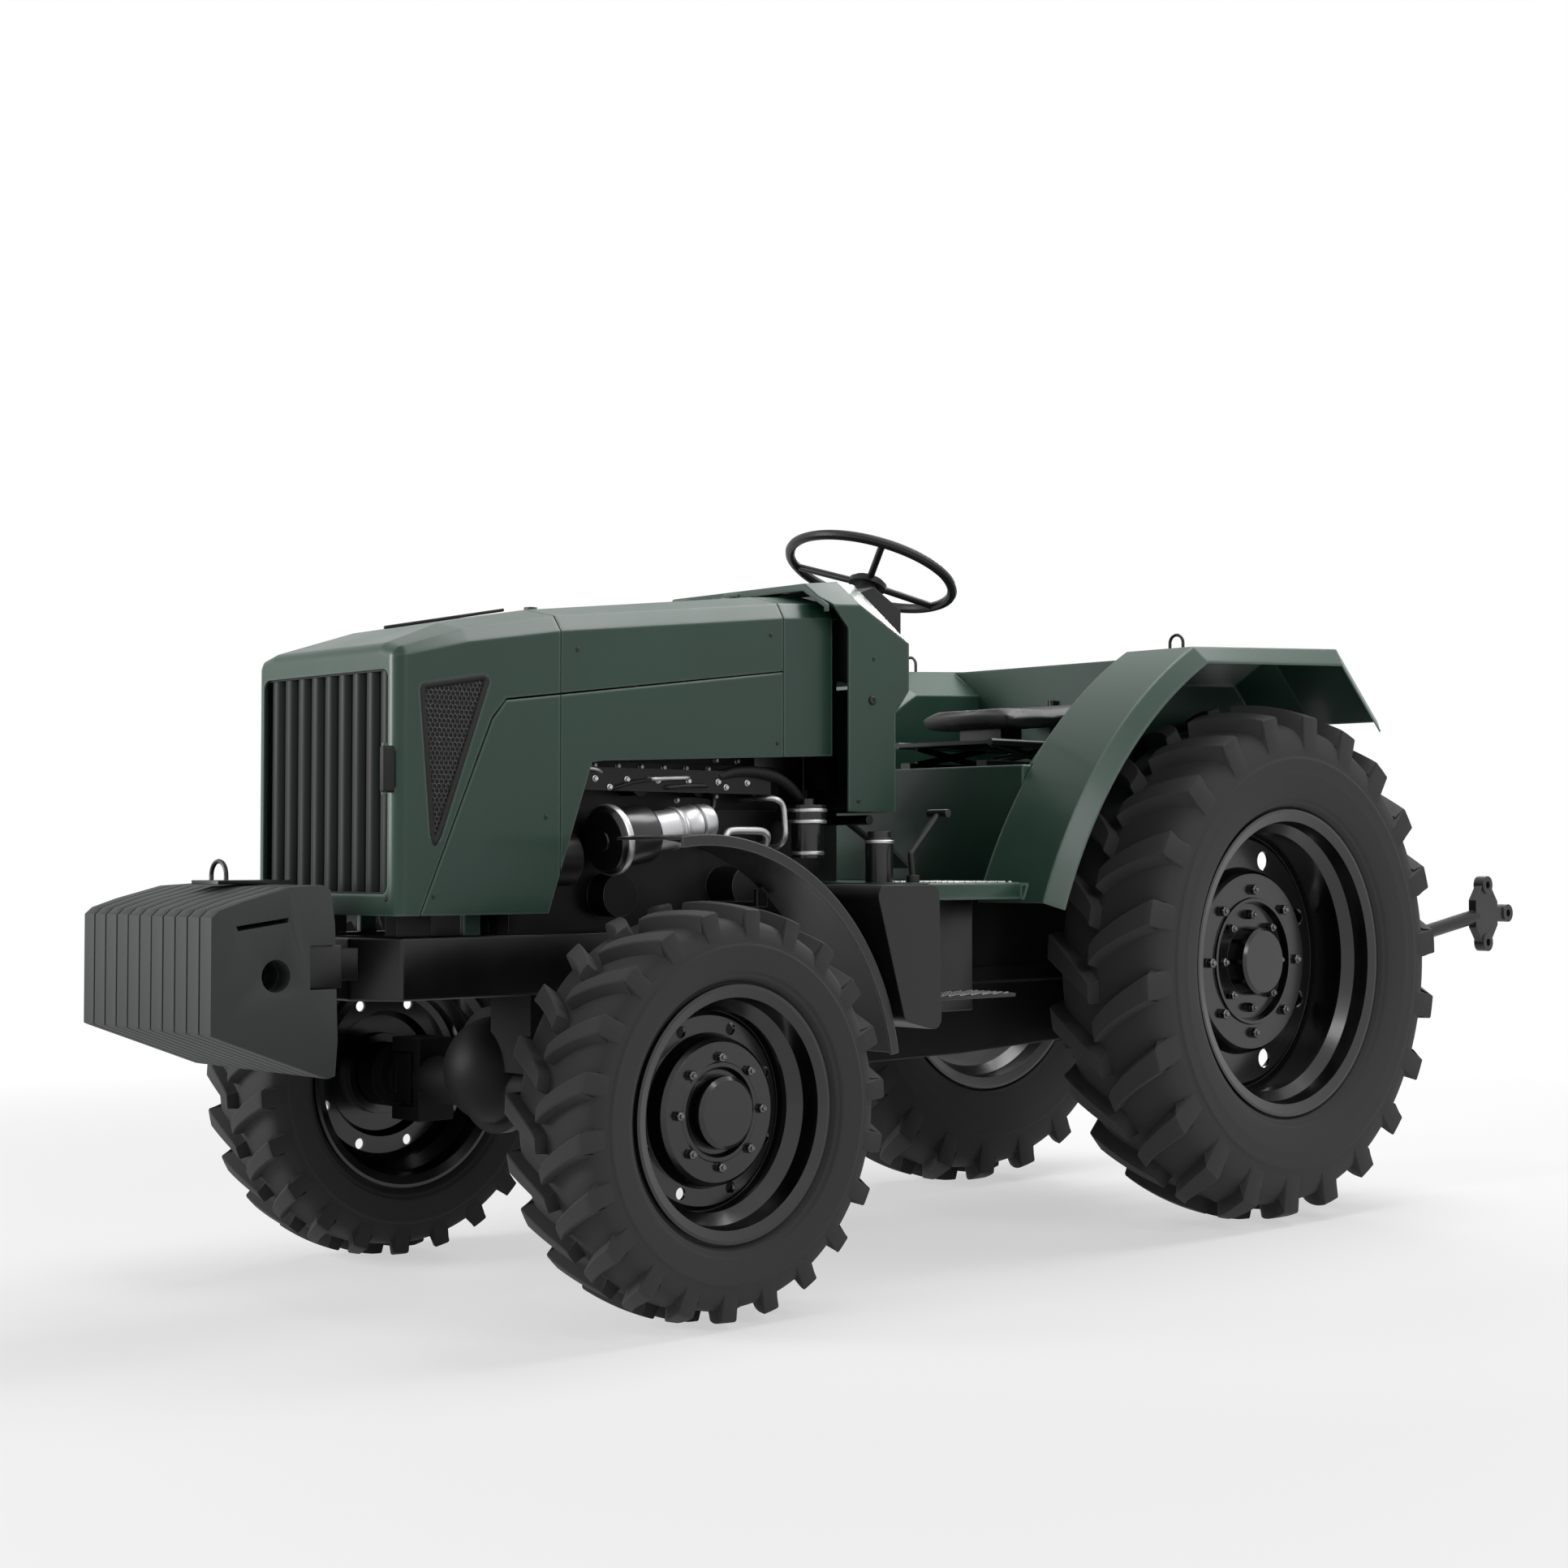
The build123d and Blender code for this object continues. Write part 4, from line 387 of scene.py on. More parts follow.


# each finish: base, patch and edge colour, share of edge colour, roughness low and high, metallic,
# specular, coat, grain scale per metre, grain depth and edge radius in mm, edge gain, share of dust; the
# edge colour is a painted highlight, laid on rounded edges in that share;
# a painted-shade colour, where a finish has one, darkens faces turned to the tractor's sides, standing in for
# the shade there
FINISH_DEFAULTS = dict(metallic=0.0, coat=0.0, gain=5.0, dust=0.0)
FINISHES = {
    "body_green": dict(base=(0.016, 0.050, 0.034), patch=(0.019, 0.057, 0.039), edge=(0.34, 0.47, 0.41),
                       highlight_share=0.5, rough=(0.34, 0.42), specular=0.4, coat=0.12, grain=900, depth=0.02,
                       radius=9.0, dust=0.02),
    "grille_green": dict(base=(0.0035, 0.008, 0.006), patch=(0.0048, 0.0105, 0.008), edge=(0.05, 0.08, 0.065),
                         highlight_share=0.2, rough=(0.40, 0.48), specular=0.2, grain=900, depth=0.02, radius=1.0),
    "satin_black": dict(base=(0.0035, 0.0037, 0.0037), patch=(0.005, 0.0052, 0.0051),
                        edge=(0.10, 0.104, 0.10), highlight_share=0.5, rough=(0.30, 0.42), specular=0.42, grain=700,
                        depth=0.03, radius=3.0, dust=0.04),
    "wheel_black": dict(base=(0.0022, 0.0023, 0.0024), patch=(0.003, 0.0031, 0.0031),
                        edge=(0.03, 0.032, 0.032), highlight_share=0.3, rough=(0.18, 0.26), specular=0.5, coat=0.2,
                        grain=600, depth=0.015, radius=2.0, dust=0.04),
    # the ballast's finish: its sideways faces take a painted shade and its edges a painted highlight
    "cast_charcoal": dict(base=(0.120, 0.121, 0.116), patch=(0.145, 0.146, 0.140), edge=(0.50, 0.50, 0.48),
                          painted_shade=(0.003, 0.0031, 0.003), highlight_share=0.6, rough=(0.42, 0.55), specular=0.4,
                          grain=420, depth=0.25, radius=2.5, dust=0.04),
    "cast_black": dict(base=(0.004, 0.0041, 0.004), patch=(0.006, 0.0061, 0.0059), edge=(0.045, 0.045, 0.043),
                       highlight_share=0.4, rough=(0.48, 0.62), specular=0.2, grain=320, depth=0.3,
                       radius=3.0, dust=0.04),
    "moulded_black": dict(base=(0.005, 0.0052, 0.0051), patch=(0.0066, 0.0068, 0.0067),
                          edge=(0.03, 0.031, 0.03), highlight_share=0.3, rough=(0.36, 0.46), specular=0.4, grain=1100,
                          depth=0.12, radius=4.0, dust=0.03),
    "engine_dark": dict(base=(0.0025, 0.0026, 0.0026), patch=(0.006, 0.0062, 0.006), edge=(0.30, 0.30, 0.29),
                        highlight_share=0.6, rough=(0.35, 0.5), metallic=0.35, specular=0.4, grain=500,
                        depth=0.15, radius=2.0, dust=0.04),
    "bright_steel": dict(base=(0.62, 0.62, 0.60), patch=(0.52, 0.52, 0.50), edge=(0.8, 0.8, 0.78),
                         highlight_share=0.3, rough=(0.16, 0.26), metallic=1.0, specular=0.5, grain=900,
                         depth=0.02, radius=1.0),
    "guard_black": dict(base=(0.003, 0.0032, 0.0032), patch=(0.0045, 0.0047, 0.0046), edge=(0.3, 0.31, 0.3),
                        highlight_share=0.7, rough=(0.26, 0.36), specular=0.5, grain=800, depth=0.02,
                        radius=4.5, gain=8.0, dust=0.03),
    "nut_steel": dict(base=(0.16, 0.16, 0.155), patch=(0.11, 0.11, 0.105), edge=(0.6, 0.6, 0.58),
                      highlight_share=0.5, rough=(0.25, 0.4), metallic=1.0, specular=0.5, grain=700,
                      depth=0.03, radius=1.0, dust=0.03),
    "filter_black": dict(base=(0.009, 0.0095, 0.0095), patch=(0.012, 0.0125, 0.012), edge=(0.12, 0.12, 0.115),
                         highlight_share=0.8, rough=(0.26, 0.34), specular=0.45, coat=0.2, grain=700, depth=0.02,
                         radius=1.8, dust=0.01),
    "grip_black": dict(base=(0.007, 0.0072, 0.0072), patch=(0.009, 0.0092, 0.0092), edge=(0.03, 0.03, 0.03),
                       highlight_share=0.2, rough=(0.38, 0.46), specular=0.35, grain=1400, depth=0.06,
                       radius=1.5),
    "seat_vinyl": dict(base=(0.008, 0.0082, 0.0082), patch=(0.0105, 0.0107, 0.0106), edge=(0.03, 0.03, 0.03),
                       highlight_share=0.15, rough=(0.36, 0.46), specular=0.42, grain=520, depth=0.22,
                       radius=1.5, dust=0.01),
    "tyre_rubber": dict(base=(0.0018, 0.0019, 0.0018), patch=(0.0036, 0.0037, 0.0035),
                        edge=(0.15, 0.153, 0.146), highlight_share=0.6, rough=(0.26, 0.36), specular=0.42, grain=520,
                        depth=0.10, radius=4.0, gain=4.0, dust=0.02),
    "trim_rubber": dict(base=(0.006, 0.006, 0.006), patch=(0.008, 0.008, 0.008), edge=(0.03, 0.03, 0.03),
                        highlight_share=0.3, rough=(0.5, 0.6), specular=0.3, grain=900, depth=0.05,
                        radius=1.2),
    "tread_steel": dict(base=(0.45, 0.45, 0.44), patch=(0.30, 0.30, 0.29), edge=(0.6, 0.6, 0.58),
                        highlight_share=0.9, rough=(0.3, 0.42), metallic=0.6, specular=0.5, grain=600,
                        depth=0.1, radius=1.0, dust=0.03),
}
DUST_COLOUR = (0.09, 0.086, 0.075, 1.0)
DUST_TOP = 1.1          # metres above the ground where the dust ends
DUST_ROUGH = 0.35       # what full dust adds to the roughness
PATCH_SCALE = 3.5       # patches per metre
COAT_ROUGH = 0.12       # roughness of every coat
PAINTED_SHADE_TURN = (0.85, 0.97)       # how squarely a face looks sideways where the painted shade starts and is full

# finish of each material slot, and of the CAD nodes that have another one than their slot
FINISH_OF_SLOT = {
    "body_paint": "body_green", "chassis_paint": "satin_black", "wheel_paint": "wheel_black",
    "grille_paint": "grille_green", "cast_charcoal": "cast_charcoal", "textured_plastic": "moulded_black",
    "engine_metal": "engine_dark", "bright_steel": "bright_steel", "filter_metal": "filter_black",
    "wheel_grip": "grip_black", "seat_vinyl": "seat_vinyl", "tyre_rubber": "tyre_rubber",
}
FINISH_OF_NODE = {
    "front_axle": "cast_black", "rear_axle": "cast_black", "transmission": "cast_black",
    "lift_housing": "cast_black", "knuckle_left": "cast_black", "knuckle_right": "cast_black",
    "cooling_fan": "moulded_black", "hood_mesh": "trim_rubber", "front_fenders": "guard_black",
}


def opaque(colour):
    """The colour with its alpha at 1."""
    return (*colour, 1.0)


def make_finish(name, groups, paint=None):
    """One material: patches between two colours, a painted highlight on rounded edges, painted shade on
    sideways faces where the finish has it, dust near the ground, fine grain.
    """
    row = FINISH_DEFAULTS | FINISHES[name]
    mat = bpy.data.materials.new(name)
    mat.use_nodes = True
    t = Tree(mat.node_tree)
    shader = mat.node_tree.nodes["Principled BSDF"]
    where = t.node("TexCoord").outputs["Object"]
    edge = t.use(groups["rounded_edge"], {"Radius": row["radius"] / 1000.0, "Gain": row["gain"]})
    grain = t.use(groups["surface_grain"], {"Vector": where, "Scale": float(row["grain"]),
                                            "Patch Scale": PATCH_SCALE})
    dust = t.use(groups["dust"], {"Vector": where, "Top": DUST_TOP, "Amount": row["dust"]})["Mask"]
    colour = t.mix(grain["Patch"], opaque(paint or row["base"]), opaque(row["patch"]))
    # painted shade: faces turned to the tractor's sides take a darker colour, standing in for the shade the
    # lamps leave there
    if "painted_shade" in row:
        across = t.node("SeparateXYZ", {0: t.node("TexCoord").outputs["Normal"]}).outputs[0]
        painted_shade = t.ramp(t.math("ABSOLUTE", across), *PAINTED_SHADE_TURN)
        colour = t.mix(painted_shade, colour, opaque(row["painted_shade"]))
    # painted highlight: rounded edges take the lighter edge colour, standing in for the light they catch
    colour = t.mix(t.math("MULTIPLY", edge["Edge"], row["highlight_share"]), colour, opaque(row["edge"]))
    colour = t.mix(dust, colour, DUST_COLOUR)
    low, high = row["rough"]
    rough = t.ramp(grain["Patch"], 0.0, 1.0, low, high)
    rough = t.math("ADD", rough, t.math("MULTIPLY", dust, DUST_ROUGH), clamp=True)
    bump = t.node("Bump", {"Height": grain["Height"], "Distance": row["depth"] / 1000.0, "Strength": 1.0,
                           "Normal": edge["Normal"]}).outputs[0]
    t.feed(shader.inputs["Base Color"], colour)
    t.feed(shader.inputs["Roughness"], rough)
    t.feed(shader.inputs["Normal"], bump)
    shader.inputs["Metallic"].default_value = row["metallic"]
    shader.inputs["Specular IOR Level"].default_value = row["specular"]
    shader.inputs["Coat Weight"].default_value = row["coat"]
    shader.inputs["Coat Roughness"].default_value = COAT_ROUGH
    return mat


def finish(name):
    """The material of that name, made by the finishes operator."""
    return bpy.data.materials[name]


# ---------------------------------------------------------------- tyres
# sizes in mm: lug height, drop of the tread at its shoulder, rim flange radius, bead radius, rim width, lugs
TYRE_SIZES = {
    "front": dict(lug=26.0, crown=14.0, flange=250.0, bead=229.0, rim=206.0, lugs=22),
    "rear": dict(lug=36.0, crown=30.0, flange=381.0, bead=356.0, rim=242.0, lugs=22),
}
SPAN_STEPS = 12                     # points on each span of the carcass's half profile
TREAD_SPANS, SIDE_SPANS = 3, 3      # spans from the tread's middle to the shoulder, and on down the side
BAND_PROUD, RING_PROUD = 3.2, 2.0   # height in mm of the side's raised band and of the ring beside the rim
LUG_ROOT = 4.0                      # depth in mm to which a lug's foot is set into the carcass


def carcass_half(s, half, tip, look):
    """Outer half profile (x, r) from the middle of the tread over the shoulder to the bead."""
    tread, over = tip - s["lug"], s["flange"] + 4.0
    flat = tread - s["crown"]
    bulge = over + 0.45 * (flat + 0.5 * s["crown"] - over)
    bead_x = s["rim"] / 2 - 13.5
    side = flat - bulge
    # points from the tread's middle outwards; the band between two steps stands proud of the side
    points = [(0.0, tread), (0.42 * half, tread - 0.25 * s["crown"]),
              (0.72 * half, tread - 0.65 * s["crown"]), (0.88 * half, flat - 0.07 * side),
              (0.955 * half, flat - 0.32 * side), (0.985 * half, flat - 0.62 * side),
              (half - 4.0, bulge), (half - 5.5, bulge - 0.22 * (bulge - over)),
              (half - 0.32 * (half - bead_x), over + 0.36 * (bulge - over)),
              (half - 0.62 * (half - bead_x), over + 8.0), (bead_x + 1.0, over)]
    curve = smooth_curve(points, SPAN_STEPS)

    def beyond(radius):
        """-1 inside the radius and 1 outside it, with a smooth step between."""
        return np.tanh((curve[:, 1] - radius) / 1.6)

    band = (beyond(over + 20.0) - beyond(bulge + 0.30 * side)) / 2 * (curve[:, 0] > bead_x)
    ring = np.exp(-((curve[:, 1] - over - 11.0) / 3.0) ** 2) * (curve[:, 0] > bead_x)
    curve[:, 0] += look.ring_height * (BAND_PROUD * band + RING_PROUD * ring)
    return curve, flat, bulge, bead_x


def carcass_surface(s, curve, bead_x, centre):
    """The half profile and its mirror, closed through the bead and turned about the axle."""
    closed = np.vstack([curve, [(bead_x, s["bead"] + 1.0)]])
    closed = np.vstack([closed, (closed * (-1, 1))[::-1][:-1]])
    turn = np.linspace(0, 2 * math.pi, 6 * s["lugs"], endpoint=False)
    x, r = closed[:, 0], closed[:, 1]
    ring = np.stack([np.broadcast_to(x, (len(turn), len(x))), np.sin(turn)[:, None] * r,
                     np.cos(turn)[:, None] * r], -1) + centre
    return sheet_of(ring, wrap_rows=True, wrap_cols=True)


def lug_stations(s, half, tip, curve, flat, bulge):
    """Foot and top (x, r) of a lug at stations from the tread's middle out to the shoulder and down the
    side, with the share of its length at each. The foot follows the carcass, set in by LUG_ROOT. The top
    falls by the crown with the power 1.8 of the share, and then the end face goes down until it runs out."""
    shoulder, side_end = TREAD_SPANS * SPAN_STEPS, (TREAD_SPANS + SIDE_SPANS) * SPAN_STEPS
    tread_part = curve[:shoulder + 1]
    side_part = curve[shoulder:side_end + 1][::-1]
    wall = flat - bulge
    x_in, x_out = 1.5, half - 9.0
    along = np.linspace(0.0, 1.0, 13)
    top_x = x_in + (x_out - x_in) * along
    top_r = tip - s["crown"] * along ** 1.8
    foot_r = np.interp(top_x, tread_part[:, 0], tread_part[:, 1]) - LUG_ROOT
    drop_r = flat - np.array([-0.55 * s["lug"], 0.10 * wall, 0.45 * wall, 0.78 * wall])
    end_top = np.stack([np.array([half - 5.0, half - 3.0, half - 1.5, half - 6.0]), drop_r], 1)
    end_top[0, 1] = top_r[-1] - 0.10 * s["lug"]
    end_foot_r = np.array([flat - 2.0, flat - 0.2 * wall, drop_r[2] - 1.0, drop_r[3]])
    end_foot = np.stack([np.interp(end_foot_r, side_part[:, 1], side_part[:, 0]) - LUG_ROOT, end_foot_r], 1)
    top = np.vstack([[(x_in - 5.0, foot_r[0])], [(x_in - 1.5, foot_r[0] + 0.8 * s["lug"])],
                     np.stack([top_x, top_r], 1), end_top])
    foot = np.vstack([[(x_in - 5.0, foot_r[0])], [(x_in - 4.0, foot_r[0])],
                      np.stack([top_x, foot_r], 1), end_foot])
    share = np.concatenate([[0.0, 0.0], along, [1.01, 1.02, 1.04, 1.06]])
    return foot, top, share


def lug_rows(s, tip, foot, top, share, centre, look):
    """Two rows of lugs, half a pitch apart. A lug's middle line leans with the power 0.78 of the share, and
    a section of nine points goes up one side of it, over its top and down the other."""
    pitch = 2 * math.pi / s["lugs"]
    long_pitch = pitch * tip
    middle = long_pitch * (-0.32 + 0.59 * share ** 0.78)
    half_top = long_pitch * (0.130 + 0.045 * share)
    draft = look.lug_draft * s["lug"]
    rise = np.array([0.0, 0.45, 0.93, 1.0, 1.0, 1.0, 0.93, 0.45, 0.0])
    extra = np.array([draft, 0.5 * draft, 0.0, -3.0, 0.0, -3.0, 0.0, 0.5 * draft, draft])
    sign = np.array([-1.0, -1, -1, -1, 0, 1, 1, 1, 1])
    xr = foot[:, None] + (top - foot)[:, None] * rise[None, :, None]
    offset = middle[:, None] + sign * (half_top[:, None] + extra)
    rows = []
    for side, shift in ((1, 0.0), (-1, 0.5)):
        angle = (np.arange(s["lugs"]) + shift)[:, None, None] * pitch + offset / tip
        lx = np.broadcast_to(side * xr[None, :, :, 0], angle.shape)
        lr = xr[None, :, :, 1]
        rows.append(repeated(np.stack([lx, np.sin(angle) * lr, np.cos(angle) * lr], -1) + centre))
    return rows


def tyre_surfaces(s, half, tip, centre, look):
    """The carcass, and the two rows of curved lugs on it."""
    curve, flat, bulge, bead_x = carcass_half(s, half, tip, look)
    foot, top, share = lug_stations(s, half, tip, curve, flat, bulge)
    return [carcass_surface(s, curve, bead_x, centre), *lug_rows(s, tip, foot, top, share, centre, look)]


# ---------------------------------------------------------------- what a user may change
class TractorFinishes(bpy.types.PropertyGroup):
    """Colours of the painted panels and frame."""
    body: FloatVectorProperty(name="Body paint", description="Green of hood, cowl and fenders", size=3,
                              subtype="COLOR", min=0, max=1, default=FINISHES["body_green"]["base"])
    chassis: FloatVectorProperty(name="Chassis paint", description="Satin black of frame and steps", size=3,
                                 subtype="COLOR", min=0, max=1, default=FINISHES["satin_black"]["base"])
    rubber: FloatVectorProperty(name="Tyre rubber", description="Charcoal of the tyres", size=3,
                                subtype="COLOR", min=0, max=1, default=FINISHES["tyre_rubber"]["base"])


class TractorSizes(bpy.types.PropertyGroup):
    """Sizes of the added detail."""
    lug_draft: FloatProperty(name="Lug draft", description="Flare of a lug's foot as a share of its height",
                             default=0.24, min=0.0, max=0.5, subtype="FACTOR")
    ring_height: FloatProperty(name="Side rings", description="Height of the rings on the tyre's side",
                               default=1.0, min=0.0, max=2.0, subtype="FACTOR")
    cell: FloatProperty(name="Mesh cell", description="Width of one cell of the hood's side mesh",
                        default=0.0105, min=0.004, max=0.03, unit="LENGTH")
    stud_pitch: FloatProperty(name="Tread studs", description="Distance between studs on steps and platform",
                              default=0.018, min=0.01, max=0.05, unit="LENGTH")
    seat_swell: FloatProperty(name="Seat swell", description="Most that the cushion's cloth may move",
                              default=0.009, min=0.0, max=0.03, unit="LENGTH")


class TractorStage(bpy.types.PropertyGroup):
    """Floor and lamps."""
    floor: FloatProperty(name="Floor tone", description="Lightness of the floor", default=0.86,
                         min=0.0, max=1.0, subtype="FACTOR")
    lamps: FloatProperty(name="Lamp level", description="Strength of all lamps together", default=1.0,
                         min=0.1, max=4.0, subtype="FACTOR")
    size: FloatProperty(name="Floor size", description="Half length of the floor", default=14.0, min=5.0,
                        max=40.0, unit="LENGTH")


# ---------------------------------------------------------------- operators
class TRACTOR_OT_finishes(bpy.types.Operator):
    """Make the finishes and put one on every CAD node"""
    bl_idname = "tractor.finishes"
    bl_label = "Finishes"

    def execute(self, context):
        look = context.scene.tractor_finishes
        groups = {g.name: g for g in (rounded_edge_group(), surface_grain_group(), dust_group())}
        paint = {"body_green": look.body, "satin_black": look.chassis, "tyre_rubber": look.rubber}
        for name in FINISHES:
            make_finish(name, groups, paint.get(name))
        for node, obj in NODES.items():
            obj.data.materials.clear()
            obj.data.materials.append(finish(FINISH_OF_NODE.get(node) or FINISH_OF_SLOT[SLOT_OF[node]]))
        return {"FINISHED"}


# CAD node: width of its rounded edges in mm
ROUNDED = {"ballast_weights": 6.0, "front_frame": 6.0, "platform": 4.0, "steps": 2.5, "seat_deck": 4.0,
           "transmission": 12.0, "pedestal": 4.0, "weight_carrier": 3.0}


class TRACTOR_OT_rounded_panels(bpy.types.Operator):
    """Round the edges of the heavy plates, frame and castings"""
    bl_idname = "tractor.rounded_panels"
    bl_label = "Rounded panels"

    def execute(self, context):
        for node, width in ROUNDED.items():
            softened(node, width)
        return {"FINISHED"}


class TRACTOR_OT_tyres(bpy.types.Operator):
    """Make the four tyres with curved traction lugs"""
    bl_idname = "tractor.tyres"
    bl_label = "Tyres"

    def execute(self, context):
        look = context.scene.tractor_sizes
        for end, sizes in TYRE_SIZES.items():
            for hand in ("left", "right"):
                node = f"tyre_{end}_{hand}"
                lo, hi = span(node)
                tip = float(lo[2] + hi[2]) / 2
                surfaces = tyre_surfaces(sizes, float(hi[0] - lo[0]) / 2, tip, (lo + hi) / 2, look)
                piece(f"tyre_{end}_{hand}_lugged", surfaces, finish("tyre_rubber"), node, replaces=[node])
        return {"FINISHED"}


NUT_SUNK = 0.5
# wheel nuts at each end: circle radius, count, head radius, depth of the disc's face behind the rim's outer
# edge, and a height over that face; a head's shoulder lies NUT_SUNK below that height
NUTS = {"front": [(107.0, 8, 9.5, 51.0, 10.0)],
        "rear": [(180.0, 8, 12.5, 117.0, 13.0), (117.0, 8, 11.0, 117.0, 6.0)]}


def wheel_nut(origin, axis, radius):
    """A hexagon nut with a chamfered top, and the round end of its stud."""
    return [turned([(-6.0, radius), (0.0, radius), (1.5, 0.85 * radius)], origin, axis, 6),
            turned([(0.0, 0.55 * radius), (6.0, 0.55 * radius), (7.5, 0.4 * radius)], origin, axis, 16)]


class TRACTOR_OT_wheel_nuts(bpy.types.Operator):
    """Make the steel nuts and studs on the wheel discs"""
    bl_idname = "tractor.wheel_nuts"
    bl_label = "Wheel nuts"

    def execute(self, context):
        for end, circles in NUTS.items():
            for hand, side in (("left", 1), ("right", -1)):
                node = f"rim_{end}_{hand}"
                lo, hi = span(node)
                tyre_lo, tyre_hi = span(f"tyre_{end}_{hand}")
                hub = (tyre_lo + tyre_hi) / 2
                outer = float(hi[0]) if side > 0 else float(-lo[0])
                heads = []
                for circle_r, count, radius, set_in, proud in circles:
                    for k in range(count):
                        a = 2 * math.pi * k / count
                        at = (side * (outer - set_in + proud - NUT_SUNK), hub[1] - circle_r * math.sin(a),
                              hub[2] + circle_r * math.cos(a))
                        heads += wheel_nut(at, (side, 0, 0), radius)
                piece(f"wheel_nuts_{end}_{hand}", heads, finish("nut_steel"), node)
        return {"FINISHED"}


# hood side window: corners (y, z), millimetres
MESH_WINDOW = [(-2353.0, 1240.0), (-2180.0, 1270.0), (-2322.0, 888.0)]
BORDER_ROUND = 18.0     # corner radius of the window's border, and the points of each corner
BORDER_STEPS = 10
MESH_MARGIN = 11.0      # least distance from a cell's middle to the window's side
MESH_WALL = 1.1         # thickness of a cell's wall
# section of the window's border: across it towards the window's middle, up out of the panel
MESH_BEAD = [(-1.0, 0.0), (-1.0, 2.6), (1.0, 4.2), (5.0, 4.9), (9.0, 4.2), (12.0, 2.2), (12.5, 0.0)]


def honeycomb(window, cell, wall, face_x, back_x, margin):
    """Six-sided cells with their centres on a staggered lattice inside a three-sided window:
    each cell has a flat rim from its border to its hole, and walls down to the back."""
    w = np.asarray(window, float)
    ys = np.arange(w[:, 0].min(), w[:, 0].max(), cell)
    zs = np.arange(w[:, 1].min(), w[:, 1].max(), cell * math.sqrt(3) / 2)
    row = np.arange(len(zs))
    cy = ys[None, :] + 0.5 * cell * (row[:, None] % 2)
    cz = np.broadcast_to(zs[:, None], cy.shape)
    centres = np.stack([cy.ravel(), cz.ravel()], 1)
    ahead = np.roll(w, -1, 0) - w
    turn = np.sign(ahead[0, 0] * ahead[1, 1] - ahead[0, 1] * ahead[1, 0])
    normal = turn * np.stack([-ahead[:, 1], ahead[:, 0]], 1) / np.linalg.norm(ahead, axis=1, keepdims=True)
    inside = ((centres[:, None] - w[None]) * normal[None]).sum(-1).min(1) > margin
    centres = centres[inside]
    outer = circle(cell / math.sqrt(3), 6, math.pi / 6)
    hole = circle(cell / math.sqrt(3) - wall, 6, math.pi / 6)
    rings = [(outer, back_x), (outer, face_x - 0.2), (hole, face_x), (hole, back_x)]
    rows = [np.concatenate([np.full((len(centres), 6, 1), at), centres[:, None] + flat[None]], -1)
            for flat, at in rings]
    grid = np.stack(rows, 1)                       # cell, ring, corner, xyz
    base = quads(4, 6, wrap_rows=True, wrap_cols=True)
    start = (np.arange(len(centres)) * 24)[:, None, None]
    return grid.reshape(-1, 3), [(base[None] + start).reshape(-1, 4)]


def mirrored(surfaces):
    """The same surfaces on the other side of the tractor."""
    return [(co * (-1, 1, 1), faces) for co, faces in surfaces]


def both_sides(surfaces):
    """The surfaces and their mirror images."""
    return surfaces + mirrored(surfaces)


class TRACTOR_OT_side_mesh(bpy.types.Operator):
    """Make the honeycomb and rubber border of the hood's side windows"""
    bl_idname = "tractor.side_mesh"
    bl_label = "Side mesh"

    def execute(self, context):
        look = context.scene.tractor_sizes
        panel = float(span("hood_lid")[1][0])
        plate = float(span("hood_mesh")[1][0])
        net = honeycomb(MESH_WINDOW, look.cell * 1000, MESH_WALL, panel - 1.6, plate - 0.5, MESH_MARGIN)
        piece("side_mesh_cells", both_sides([net]), finish("filter_black"), "hood_mesh")
        outline = round_corners(MESH_WINDOW, BORDER_ROUND, BORDER_STEPS)
        centre = outline.mean(0)
        path = np.column_stack([np.full(len(outline), plate), outline])
        inward = np.sign(np.cross(path[1] - path[0], (1.0, 0, 0)) @ np.append(0.0, centre - outline[0]))
        section = np.array(MESH_BEAD) * (inward, 1.0)
        border = carried(path, section, closed=True, up=(1.0, 0.0, 0.0))
        piece("side_mesh_border", both_sides([border]), finish("trim_rubber"), "hood_mesh")
        return {"FINISHED"}


# screws on the hood and cowl sides: CAD node on the left, x, y, z, head radius
SIDE_SCREWS = [
    ("hood_lid", 256.0, -1966.0, 1329.0, 4.8), ("side_panel_left", 256.0, -2046.0, 986.0, 4.8),
    ("hood_lid", 256.0, -1428.0, 1393.0, 4.8), ("side_panel_left", 256.0, -1408.0, 1156.0, 4.8),
    ("side_panel_left", 256.0, -2318.0, 829.0, 4.8), ("cowl", 300.0, -1200.0, 1032.0, 5.5),
    ("cowl", 300.0, -1156.0, 1260.0, 11.0), ("cowl", 300.0, -1150.0, 1354.0, 4.8),
]
# one on each side of the grille: x, distance before the grille, z, head radius
GRILLE_SCREW = (221.0, 6.0, 826.0, 5.5)


class TRACTOR_OT_screws(bpy.types.Operator):
    """Make the screws on hood, side panels, cowl and grille frame"""
    bl_idname = "tractor.screws"
    bl_label = "Screws"

    def execute(self, context):
        groups = {}
        for node, x, y, z, radius in SIDE_SCREWS:
            for side in SIDES:
                like = node.replace("left", "left" if side > 0 else "right")
                groups.setdefault(like, []).append(screw((side * x, y, z), (side, 0, 0), radius))
        front = float(span("grille")[0][1])
        x, ahead, z, radius = GRILLE_SCREW
        for side in (-1, 1):
            groups["hood_lid"].append(screw((side * x, front - ahead, z), (0, -1, 0), radius))
        for like, heads in groups.items():
            piece(f"{like}_screws", heads, finish("satin_black"), like)
        return {"FINISHED"}


